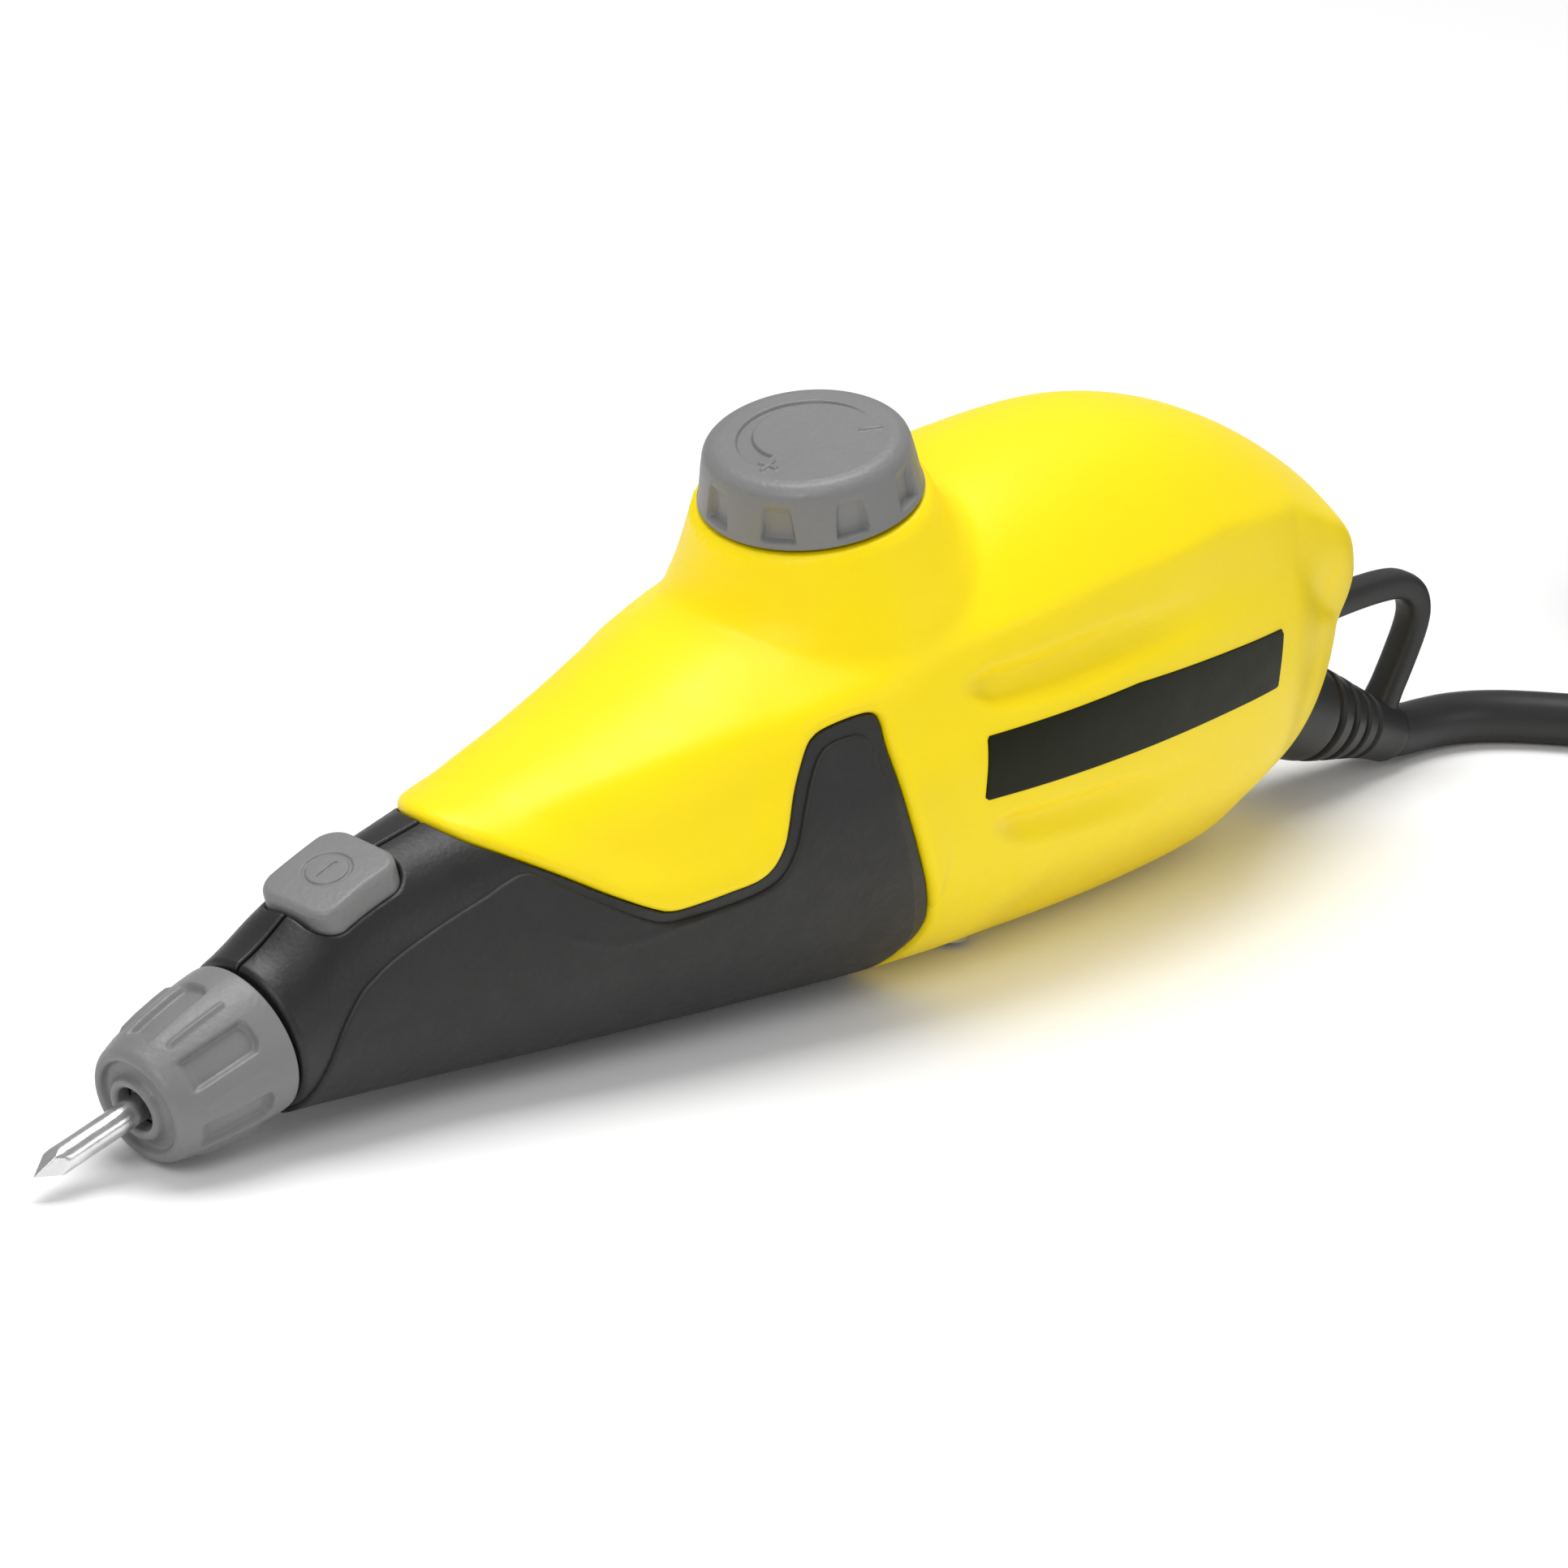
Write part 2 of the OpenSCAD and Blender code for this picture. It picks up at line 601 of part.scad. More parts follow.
// ---- Power button and switch, in the button's frame
button_top = 3.1;
button_bottom = -2.5;
corner_r = 2.6;
button_wall = 0.9;
button_roof = 1.6;
stem_x = 3;
stem_r = 1.3;
switch_top = -4.9;
switch_h = 3.1;
module rounded_block(l, w, z0, z1, r) {
    translate([0, 0, z0]) linear_extrude(z1 - z0) {
        square([l, w - 2 * r], center = true);
        square([l - 2 * r, w], center = true);
        for (x = [-1, 1], y = [-1, 1]) translate([x * (l/2 - r), y * (w/2 - r)]) circle(r);
    }
}
module button_window() {
    on_button() rounded_block(button_l + 2 * free_gap, button_w + 2 * free_gap, -6, 20, corner_r + free_gap);
}
module power_button() {
    color([0.5, 0.5, 0.5]) on_button() difference() {
        rounded_block(button_l, button_w, button_bottom, button_top, corner_r);
        rounded_block(button_l - 2 * button_wall, button_w - 2 * button_wall, button_bottom - 1,
            button_top - button_roof, corner_r - button_wall);
    }
}
module button_plunger() {
    color([0.9, 0.9, 0.88]) on_button() translate([stem_x, 0, 0]) {
        translate([0, 0, -2.6]) cylinder(h = button_top - button_roof - 0.02 + 2.6, r = stem_r);
    }
}
// Drawn at its length under the pressed button
module button_spring() {
    wire_r = 0.25;
    mean_r = stem_r + 0.1 + wire_r;
    turns = 5;
    rise = button_top - button_roof - button_travel - seat_gap - switch_top - 0.04 - 2 * wire_r;
    color([0.6, 0.6, 0.62]) on_button() translate([stem_x, 0, switch_top + 0.02]) rotate_extrude() {
        for (i = [0:turns - 1]) translate([mean_r, wire_r + rise * i / (turns - 1)]) circle(wire_r, $fn = 16);
        translate([mean_r - 0.1, wire_r]) square([0.2, rise]);
    }
}
module switch_body() {
    color([0.1, 0.1, 0.1]) on_button() difference() {
        translate([stem_x - 4.5, -3.6, switch_top - switch_h]) cube([9, 7.2, switch_h]);
        translate([stem_x, 0, switch_top - 2.2]) cylinder(h = 3, r = stem_r + free_gap);
    }
}
module switch_terminals() {
    color([0.75, 0.7, 0.5]) on_button() for (y = [-2.2, 2.2])
        translate([stem_x + 4.52, y - 0.8, switch_top - 2]) cube([3, 1.6, 0.5]);
}

// ---- Mains entry
terminal_x = 56;
terminal_l = 12;
terminal_w = 14;
terminal_z = 6;
terminal_h = 9;
module terminal_bores() { for (y = [-4, 4]) translate([terminal_x + 6, y, terminal_z - 4]) cylinder(h = 4.1, r = 1); }
module terminal_block() {
    color([0.9, 0.9, 0.88]) difference() {
        block(terminal_x, terminal_x + terminal_l, terminal_w - 1, terminal_z + 0.02, terminal_z + terminal_h);
        for (y = [-3.2, 3.2]) {
            translate([terminal_x - 1, y, terminal_z + 4]) rotate([0, 90, 0]) cylinder(h = terminal_l + 2, r = 1.3);
            translate([terminal_x + 6, y, terminal_z + 4]) cylinder(h = 10, r = 1.2);
        }
    }
}
module terminal_screws() {
    color([0.75, 0.7, 0.5]) for (y = [-3.2, 3.2])
        translate([terminal_x + 6, y, terminal_z + 5.6]) difference() {
            cylinder(h = 3, r = 1.18);
            translate([-2, -0.25, 2.3]) cube([4, 0.5, 1]);
        }
}
clamp_x = 70.3;
clamp_l = 5;
clamp_z = 8;
module cord_clamp() {
    color([0.15, 0.15, 0.15]) difference() {
        block(clamp_x + 0.3, clamp_x + clamp_l - 0.3, 13.2, clamp_z + 0.02, clamp_z + 9.5);
        translate([clamp_x - 1, 0, clamp_z + 4.6]) rotate([0, 90, 0]) cylinder(h = 10, r = cord_d / 2 + 0.1);
        translate([clamp_x - 1, -cord_d/2 - 0.1, clamp_z - 1]) cube([10, cord_d + 0.2, 5.6]);
        for (y = [-5, 5]) translate([clamp_x + clamp_l/2, y, clamp_z - 1]) cylinder(h = 20, r = 1.1);
    }
}
module clamp_screws() {
    color([0.6, 0.6, 0.62]) for (y = [-5, 5]) translate([clamp_x + clamp_l/2, y, clamp_z + 0.05]) {
        cylinder(h = 9.5, r = 1.08);
        translate([0, 0, 9.47]) cylinder(h = 1.4, r = 1.9);
    }
}
relief_root_r = 6;
relief_tip_r = 3.7;
grooves = 4;
module strain_relief() {
    color([0.12, 0.12, 0.12]) difference() {
        union() {
            on_relief() {
                cylinder(h = 9, r = relief_root_r);
                for (i = [0:grooves - 1]) {
                    r = relief_root_r - 0.45 * (i + 1);
                    translate([0, 0, 9 + 3.4 * i]) cylinder(h = 1.2, r = r - 0.7);
                    translate([0, 0, 10.2 + 3.4 * i]) cylinder(h = 2.2, r = r);
                }
                translate([0, 0, 9 + 3.4 * grooves]) cylinder(h = relief_l - 9 - 3.4 * grooves, r = relief_tip_r);
            }
            hanging_loop();
        }
        on_relief() translate([0, 0, -1]) cylinder(h = relief_l + 2, r = cord_d / 2);
    }
}
loop_points = [[85, 22.2], [102.5, 23.2], [108.3, 18.6], [104, 7.6]];
loop_r = 1.7;
loop_w = 4;
module bar(a, b, r, w) {
    d = b - a;
    translate([a[0], 0, a[1]]) rotate([0, -atan2(d[1], d[0]), 0]) {
        translate([0, -w/2, -r]) cube([norm(d), w, 2 * r]);
    }
}
module hanging_loop() {
    for (i = [0:2]) bar(loop_points[i], loop_points[i + 1], loop_r, loop_w);
    for (p = loop_points) translate([p[0], loop_w/2, p[1]]) rotate([90, 0, 0]) cylinder(h = loop_w, r = loop_r + 0.04);
}
module loop_slot() {
    bar(loop_points[0] - 5 * unit(loop_points[1] - loop_points[0]), loop_points[1],
        loop_r + 0.04 + run_gap, loop_w + 2 * run_gap);
}

// ---- Round tube swept along a route, with rings square to the route
function unit(v) = v / norm(v);
function heading(pts, i) = unit(pts[min(i + 1, len(pts) - 1)] - pts[max(i - 1, 0)]);
module swept_tube(pts, r, sides) {
    ring_solid([for (i = [0:len(pts) - 1])
        let (t = heading(pts, i), side = unit(cross(t, abs(t[2]) > 0.9 ? [1, 0, 0] : [0, 0, 1])),
             up = cross(side, t))
        [for (k = [0:sides - 1]) pts[i] + r * cos(360 * k / sides) * side - r * sin(360 * k / sides) * up]]);
}
lead_r = 0.9;
live_route = [[56, -3.2, 10], [50, -3, 8.4], [40, -2.2, 7.4], [20, -1.8, 6.8], [10, -2.2, 7.6], [2, -4.4, 9.6],
    [-4, -5, 10.6],
    [-9.4, -5, 9.2], [-14, -5, 11], [-30, -4.4, 13], [-49, -3.8, 13.2], [-54, -4.3, 16],
    [-57, -4.3, 20], [-59.4, -3.2, 22.6], [-61, -2.2, 23]];
neutral_route = [[56, 3.2, 10], [52, 5, 10.4], [47, 9, 14], [42, 13, 20], [37.4, 15.4, 27], [32, 15, 33],
    [28.4, 13.4, 36.2], [27.1, 11.9, 36.6]];
switched_route = [[-61, 2.2, 23], [-59.4, 3.2, 22.6], [-57, 4.3, 20], [-54, 4.3, 16], [-49, 3.8, 13.2],
    [-30, 4.4, 13], [-14, 5, 11], [-9.4, 5, 9.2], [-4, 5, 10.6], [3, 6.5, 9.4], [8, 10.5, 10],
    [11.4, 15, 15], [13, 16.2, 22], [15, 15.6, 29], [17.6, 13.6, 33.4], [19.4, 11.9, 34.4]];
module lead_live() { color([0.35, 0.18, 0.08]) swept_tube(live_route, lead_r, 8); }
module lead_neutral() { color([0.1, 0.25, 0.7]) swept_tube(neutral_route, lead_r, 8); }
module lead_switched() { color([0.1, 0.1, 0.1]) swept_tube(switched_route, lead_r, 8); }

// ---- Mains cord: out of the relief, round to its tied hank, and on to the plug
cord_r = cord_d / 2;
lie = cord_r + 0.05;             // height of the cord's middle where it lies
tie_t = 1;
layer = cord_d + 0.05;
layers = 4;
lane_in = 19;
lane_out = lane_in + cord_d;
hank_y = -5;
hank_x = [186, 256];             // centres of the folds at the hank's ends
hank_top = tie_t + layers * layer;
cord_route = [[106, 0, 3.7], [109, 0, 3.3], [113, -0.1, lie], [117.5, -0.9, lie], [122, -2.8, lie],
    [126.6, -6.2, lie], [131.4, -10.8, lie], [137, -16.2, lie], [143.6, -21.4, lie], [151.4, -25.8, lie],
    [160, -28.8, lie], [169, -30, lie], [178, hank_y - lane_out, 3.4], [187, hank_y - lane_out, tie_t + cord_r]];
module power_cord() { color([0.08, 0.08, 0.08]) swept_tube(cord_route, cord_r, 10); }
module hank_outline(r) {
    translate([hank_x[0], hank_y - r]) square([hank_x[1] - hank_x[0], 2 * r]);
    for (x = hank_x) translate([x, hank_y]) circle(r, $fn = 96);
}
module cord_hank() {
    color([0.08, 0.08, 0.08]) translate([0, 0, tie_t]) linear_extrude(layers * layer) difference() {
        hank_outline(lane_out + cord_r);
        hank_outline(lane_in - cord_r);
    }
}
tail_r = 19;                     // bend of the end that turns back over the hank
plug_at = [hank_x[0] + 10, hank_y + lane_out - 2 * tail_r, hank_top + tie_t + 6.9];
tail_start = hank_top - cord_r;
tail_route = concat(
    [for (i = [0:4]) [hank_x[0] + 28 - 7 * i, hank_y + lane_out, tail_start + 6.6 * pow(sin(22.5 * i), 2)]],
    [for (i = [1:8]) [hank_x[0] - tail_r * sin(22.5 * i), hank_y + lane_out - tail_r * (1 - cos(22.5 * i)),
        tail_start + 6.6 + (plug_at[2] - tail_start - 6.6) * i / 8]],
    [[plug_at[0] - 4, plug_at[1], plug_at[2]], [plug_at[0] + 1, plug_at[1], plug_at[2]]]);
module cord_tail() { color([0.08, 0.08, 0.08]) swept_tube(tail_route, cord_r, 10); }
module cord_tie() {
    reach = lane_out + cord_r;
    color([0.1, 0.1, 0.1]) translate([(hank_x[0] + hank_x[1]) / 2 - 4, hank_y, 0]) difference() {
        translate([0, -reach - 1.1, 0]) cube([8, 2 * reach + 2.2, hank_top + tie_t]);
        translate([-1, -reach - 0.1, tie_t - 0.02]) cube([10, 2 * reach + 0.2, layers * layer + 0.04]);
    }
}
plug_l = 34;
pin_root_l = 8;                  // length of a pin moulded into the plug
pin_root_r = pin_d/2 + 0.5;
module on_plug() { translate(plug_at) rotate([90, 0, 90]) children(); }
module plug_body() {
    color([0.08, 0.08, 0.08]) on_plug() difference() {
        union() {
            cylinder(h = 13, r1 = cord_r + 0.6, r2 = cord_r + 1.6);
            translate([0, 0, 12]) linear_extrude(plug_l - 12) {
                square([17.4, 13.6], center = true);
                for (x = [-1, 1]) translate([x * 8.7, 0]) circle(6.8);
            }
        }
        translate([0, 0, -1]) cylinder(h = 9, r = cord_r);
        for (x = [-1, 1]) translate([x * pin_pitch/2, 0, plug_l - pin_root_l]) cylinder(h = 20, r = pin_root_r);
    }
}
module plug_pins() {
    tip = 2;
    color([0.75, 0.75, 0.76]) on_plug() for (x = [-1, 1]) translate([x * pin_pitch/2, 0, plug_l]) {
        translate([0, 0, -pin_root_l]) cylinder(h = pin_root_l, r = pin_root_r);
        cylinder(h = pin_l - tip, r = pin_d/2);
        translate([0, 0, pin_l - tip]) cylinder(h = tip, r1 = pin_d/2, r2 = pin_d/2 - 0.8);
    }
}

rear_housing();
grip_shell_left();
grip_shell_right();
grip_pad_left();
grip_pad_right();
label_plate_left();
label_plate_right();
nose_tube();
nose_sleeve();
sleeve_snap_ring();
dust_seal();
stylus();
stylus_chuck();
chuck_set_screw();
drive_rod();
front_guide_bush();
rear_guide_bush();
return_spring();
spring_collar();
stop_collar();
armature();
armature_nut();
magnet_frame();
laminated_core();
coil_bobbin();
coil_winding();
core_bracket();
core_screws();
stroke_dial();
dial_shaft();
dial_bush();
dial_circlip();
dial_detent_spring();
power_button();
button_plunger();
button_spring();
switch_body();
switch_terminals();
shell_screws();
belly_screws();
terminal_block();
terminal_screws();
cord_clamp();
clamp_screws();
lead_live();
lead_neutral();
lead_switched();
strain_relief();
power_cord();
cord_hank();
cord_tail();
cord_tie();
plug_body();
plug_pins();
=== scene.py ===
import json
import math
import bpy
import numpy as np
from mathutils import Matrix, Vector


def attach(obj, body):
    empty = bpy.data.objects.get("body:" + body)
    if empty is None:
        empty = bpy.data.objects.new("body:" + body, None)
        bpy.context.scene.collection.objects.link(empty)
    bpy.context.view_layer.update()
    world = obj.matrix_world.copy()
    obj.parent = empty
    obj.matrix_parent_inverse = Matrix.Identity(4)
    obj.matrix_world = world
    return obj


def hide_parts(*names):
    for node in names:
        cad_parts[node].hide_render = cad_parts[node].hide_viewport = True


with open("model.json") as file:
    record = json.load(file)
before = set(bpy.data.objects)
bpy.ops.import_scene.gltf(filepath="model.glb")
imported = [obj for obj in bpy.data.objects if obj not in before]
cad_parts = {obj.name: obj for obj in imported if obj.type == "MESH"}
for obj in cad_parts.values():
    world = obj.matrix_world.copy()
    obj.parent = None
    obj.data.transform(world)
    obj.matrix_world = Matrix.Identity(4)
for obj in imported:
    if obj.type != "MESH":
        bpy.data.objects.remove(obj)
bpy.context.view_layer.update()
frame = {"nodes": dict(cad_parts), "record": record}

MM = 0.001                          # lengths below are in millimetres unless a comment says otherwise


# ---------------------------------------------------------------- camera
def mat4(right, up, back, at):
    """Matrix of an object from its three axes and its place."""
    return Matrix(((right[0], up[0], back[0], at[0]), (right[1], up[1], back[1], at[1]),
                   (right[2], up[2], back[2], at[2]), (0, 0, 0, 1)))


cam = bpy.data.objects.new("camera", bpy.data.cameras.new("camera"))
bpy.context.scene.collection.objects.link(cam)
cam.data.sensor_width = 36
cam.data.lens = 186.34
cam.data.clip_start = 0.01
cam.data.clip_end = 20
cam.matrix_world = mat4((0.6765, -0.7298, 0.0987), (0.2068, 0.3169, 0.9256), (-0.7067, -0.6058, 0.3653),
                        (-0.6239, -0.5331, 0.3425))
bpy.context.scene.camera = cam
bpy.context.scene.view_settings.view_transform = "Standard"


# ---------------------------------------------------------------- materials
def lin(c):
    """Linear colour from a display colour."""
    return tuple(((x / 12.92) if x <= 0.04045 else ((x + 0.055) / 1.055) ** 2.4) for x in c) + (1.0,)


class Nodes:
    """Shorthand for one material's node tree."""

    def __init__(self, name):
        self.m = bpy.data.materials.new(name)
        self.m.use_nodes = True
        self.t = self.m.node_tree
        self.b = self.t.nodes["Principled BSDF"]
        self.co = self.t.nodes.new("ShaderNodeTexCoord").outputs["Object"]

    def new(self, kind, **inputs):
        n = self.t.nodes.new(kind)
        for k, v in inputs.items():
            if hasattr(v, "is_linked"):
                self.t.links.new(v, n.inputs[k])
            else:
                n.inputs[k].default_value = v
        return n

    def noise(self, scale, detail=3.0, rough=0.5, vec=None):
        n = self.new("ShaderNodeTexNoise", Scale=scale, Detail=detail, Roughness=rough)
        self.t.links.new(vec or self.co, n.inputs["Vector"])
        return n.outputs["Fac"]

    def voronoi(self, scale):
        n = self.new("ShaderNodeTexVoronoi", Scale=scale)
        n.feature = "SMOOTH_F1"
        self.t.links.new(self.co, n.inputs["Vector"])
        return n.outputs["Distance"]

    def stretched(self, scale, rot=(0, 0, 0)):
        n = self.t.nodes.new("ShaderNodeMapping")
        n.inputs["Scale"].default_value = scale
        n.inputs["Rotation"].default_value = rot
        self.t.links.new(self.co, n.inputs["Vector"])
        return n.outputs["Vector"]

    def ramp(self, fac, a, b, lo=0.3, hi=0.7):
        n = self.new("ShaderNodeMapRange", Value=fac)
        for k, v in (("From Min", lo), ("From Max", hi), ("To Min", a), ("To Max", b)):
            n.inputs[k].default_value = v
        return n.outputs["Result"]

    def tint(self, fac, a, b, lo=0.3, hi=0.7):
        n = self.t.nodes.new("ShaderNodeMix")
        n.data_type = "RGBA"
        self.t.links.new(self.ramp(fac, 0, 1, lo, hi), n.inputs["Factor"])
        n.inputs["A"].default_value = a
        n.inputs["B"].default_value = b
        return n.outputs["Result"]

    def link(self, out, socket):
        self.t.links.new(out, self.b.inputs[socket])

    def bump(self, *layers):
        last = None
        for height, strength, dist in layers:
            n = self.new("ShaderNodeBump", Height=height, Strength=strength, Distance=dist)
            if last:
                self.t.links.new(last, n.inputs["Normal"])
            last = n.outputs["Normal"]
        self.t.links.new(last, self.b.inputs["Normal"])


def scaled(c, k):
    """A colour made lighter or darker."""
    return tuple(min(1.0, x * k) for x in c[:3]) + (1.0,)


def moulded(name, colour, rough=0.45, grain=2600, depth=0.5, spread=0.08, spec=0.5, pebble=0.0):
    """Moulded plastic: spark-eroded grain, slow colour and gloss drift, faint rub marks."""
    n = Nodes(name)
    fine = n.noise(grain, 2.0, 0.6)
    cells = n.voronoi(grain * 0.55)
    slow = n.noise(45, 4.0, 0.55)
    rub = n.noise(260, 5.0, 0.7)
    n.link(n.tint(slow, scaled(colour, 1 - spread), scaled(colour, 1 + spread * 0.6)), "Base Color")
    n.link(n.ramp(rub, rough - 0.05, rough + 0.06), "Roughness")
    n.b.inputs["Specular IOR Level"].default_value = spec
    layers = [(fine, depth, 0.00005), (cells, depth * 0.8, 0.00006)]
    if pebble:
        layers.append((n.noise(900, 3.0, 0.55), pebble, 0.00012))
    n.bump(*layers)
    return n.m


def metal(name, colour, rough=0.3, along=(40, 900, 900), pitch=0.0, marks=0.3):
    """Turned, drawn or ground metal: fine lines and smears."""
    n = Nodes(name)
    vec = n.stretched(along, (0, math.radians(pitch), 0))
    lines = n.noise(1.0, 6.0, 0.7, vec)
    smear = n.noise(300, 5.0, 0.65)
    n.link(n.tint(smear, scaled(colour, 0.82), scaled(colour, 1.08)), "Base Color")
    n.b.inputs["Metallic"].default_value = 1.0
    n.link(n.ramp(smear, rough * 0.65, rough * 1.4), "Roughness")
    n.bump((lines, marks, 0.00004), (smear, marks * 0.6, 0.00005))
    return n.m


def rubber(name, colour, rough=0.55, grain=1500, depth=0.35):
    """Soft rubber: fine grain over slow, dull unevenness."""
    n = Nodes(name)
    fine = n.noise(grain, 4.0, 0.6)
    slow = n.noise(60, 4.0, 0.6)
    n.link(n.tint(slow, scaled(colour, 0.8), scaled(colour, 1.25)), "Base Color")
    n.link(n.ramp(slow, rough - 0.08, rough + 0.08), "Roughness")
    n.b.inputs["Specular IOR Level"].default_value = 0.4
    n.bump((fine, depth, 0.00006), (n.noise(220, 3.0, 0.5), depth * 0.5, 0.0001))
    return n.m


def grey(v):
    return lin((v, v, v))


MATS = {
    "yellow_plastic": moulded("yellow_plastic", lin((0.995, 0.885, 0.0)), 0.42, 3000, 0.16, 0.02, 0.28),
    "black_plastic": moulded("black_plastic", grey(0.085), 0.43, 2300, 0.5, 0.15, 0.5, 0.12),
    "black_rubber": moulded("black_rubber", grey(0.15), 0.55, 1900, 0.7, 0.12, 0.36, 0.45),
    "label_foil": moulded("label_foil", lin((0.085, 0.095, 0.01)), 0.4, 5200, 0.1, 0.08, 0.12),
    "grey_plastic": moulded("grey_plastic", grey(0.475), 0.42, 2600, 0.7, 0.08, 0.5),
    "plated_steel": metal("plated_steel", (0.66, 0.66, 0.67, 1), 0.25),
    "carbide": metal("carbide", (0.78, 0.78, 0.79, 1), 0.2, (120, 1500, 1500), 16.5, 0.5),
    "dark_steel": metal("dark_steel", (0.2, 0.2, 0.21, 1), 0.38),
    "bronze": metal("bronze", (0.62, 0.42, 0.2, 1), 0.33),
    "spring_steel": metal("spring_steel", (0.55, 0.55, 0.56, 1), 0.28),
    "screw_steel": metal("screw_steel", (0.6, 0.6, 0.62, 1), 0.3),
    "core_steel": metal("core_steel", (0.35, 0.35, 0.37, 1), 0.42, (300, 2200, 300), 0, 0.6),
    "cast_zinc": metal("cast_zinc", (0.42, 0.42, 0.44, 1), 0.5, (500, 500, 500), 0, 0.5),
    "white_nylon": moulded("white_nylon", lin((0.9, 0.89, 0.85)), 0.45, 2400, 0.3, 0.04),
    "copper_enamel": metal("copper_enamel", (0.6, 0.24, 0.09, 1), 0.25, (2600, 60, 60), 16.5, 0.9),
    "switch_black": moulded("switch_black", grey(0.13), 0.4, 2600, 0.3),
    "brass": metal("brass", (0.72, 0.56, 0.26, 1), 0.3),
    "lead_brown": rubber("lead_brown", lin((0.36, 0.2, 0.1)), 0.4),
    "lead_blue": rubber("lead_blue", lin((0.15, 0.3, 0.7)), 0.4),
    "lead_black": rubber("lead_black", grey(0.13), 0.4),
    "cord_black": rubber("cord_black", grey(0.14), 0.46, 1300, 0.3),
    "relief_rubber": rubber("relief_rubber", grey(0.135), 0.44, 1500, 0.35),
}

for part in frame["record"]["subparts"]:
    node = frame["nodes"].get(part["node"])
    if node is not None and node.type == "MESH":
        m = MATS[part["material_slot"]]
        if not node.data.materials:
            node.data.materials.append(m)
        for s in node.material_slots:
            s.link = "OBJECT"
            s.material = m


# ---------------------------------------------------------------- helpers
def mesh_object(name, verts, faces, mat, smooth=True):
    """Object made of the points and faces given, in one of the materials above."""
    me = bpy.data.meshes.new(name)
    me.from_pydata((np.asarray(verts, float) * MM).tolist(), [], [tuple(int(i) for i in f) for f in faces])
    me.validate()
    me.update()
    if smooth:
        me.polygons.foreach_set("use_smooth", [True] * len(me.polygons))
    me.materials.append(MATS[mat])
    ob = bpy.data.objects.new(name, me)
    bpy.context.scene.collection.objects.link(ob)
    return ob


def frame_of(origin, pitch):
    """Local frame pitched about Y: local x rearwards, local z up and forwards."""
    a = math.radians(pitch)
    return (np.array(origin, float), np.array([math.cos(a), 0, math.sin(a)]), np.array([0, 1.0, 0]),
            np.array([-math.sin(a), 0, math.cos(a)]))


AXIS = frame_of((-110, 0, 2.75), 16.5)      # local x along the stylus
DIAL = frame_of((-4.5, 0, 61.6), 15.5)
BUTTON = frame_of((-71, 0, 25.3), 22.5)
BUTTON_L, BUTTON_W, BUTTON_R = 6.0, 5.3, 2.6    # half length, half width and corner radius of the cap


def to_world(fr, p):
    p = np.asarray(p, float)
    return fr[0] + p[..., 0:1] * fr[1] + p[..., 1:2] * fr[2] + p[..., 2:3] * fr[3]


def to_local(fr, p):
    d = np.asarray(p, float) - fr[0]
    return np.stack([d @ fr[1], d @ fr[2], d @ fr[3]], -1)


def smoothstep(a, b, x):
    t = np.clip((x - a) / (b - a), 0, 1)
    return t * t * (3 - 2 * t)


def grid_faces(n, m):
    """Four-sided faces of n rings of m points each."""
    out = []
    for i in range(n - 1):
        for j in range(m):
            k = (j + 1) % m
            out.append((i * m + j, (i + 1) * m + j, (i + 1) * m + k, i * m + k))
    return out


def round_drop(s, r):
    """How far a rounded edge of radius r falls away at distance s from the edge."""
    t = np.clip(r - s, 0, r)
    return r - np.sqrt(np.maximum(r * r - t * t, 0))


def spline(points, per):
    """Smooth curve through points, with per samples a span."""
    p = np.asarray(points, float)
    n = len(p)
    out = []
    for i in range(n - 1):
        a, b, c, d = p[max(i - 1, 0)], p[i], p[i + 1], p[min(i + 2, n - 1)]
        for k in range(per):
            t = k / per
            out.append(0.5 * (2 * b + (c - a) * t + (2 * a - 5 * b + 4 * c - d) * t * t
                              + (3 * b - a - 3 * c + d) * t ** 3))
    out.append(p[-1])
    return np.array(out)


# ---------------------------------------------------------------- mains cord, plug and tie
CORD_R = 3.1
LIE = CORD_R + 0.05                 # height of the cord's middle where it lies on the table
TIE_T = 1.0
LAYER = 6.25
LANE_IN, LANE_OUT = 19.0, 25.2      # half the width between the hank's inner and outer runs
HANK_Y = -5.0
HANK_X = (186.0, 256.0)
HANK_TOP = TIE_T + 4 * LAYER
HANK_END = 6.65                     # turns of the hank before the tail rises out of it
LAP_POINTS = 32                     # points of the route in each turn
TAIL_R = 19.0
PLUG_AT = (HANK_X[0] + 10, HANK_Y + LANE_OUT - 2 * TAIL_R, HANK_TOP + TIE_T + 6.9)
PLUG_SLEEVE_L, PLUG_L = 12.0, 34.0       # the plug's cord sleeve, and the plug as far as its pin face
PIN_HALF_PITCH = 9.3


def step(t, a, b):
    """Eased step from 0 to 1 between a and b."""
    x = min(1.0, max(0.0, (t - a) / (b - a)))
    return x * x * (3 - 2 * x)


def lap(turn, r, z):
    """Point on an oval of two straight runs and two half circles, counted in turns."""
    f = (turn % 1) * 4
    run = HANK_X[1] - HANK_X[0]
    if f < 1:
        return (HANK_X[0] + run * f, HANK_Y - r, z)
    if f < 2:
        a = math.pi * (f - 1)
        return (HANK_X[1] + r * math.sin(a), HANK_Y - r * math.cos(a), z)
    if f < 3:
        return (HANK_X[1] - run * (f - 2), HANK_Y + r, z)
    a = math.pi * (f - 3)
    return (HANK_X[0] - r * math.sin(a), HANK_Y + r * math.cos(a), z)


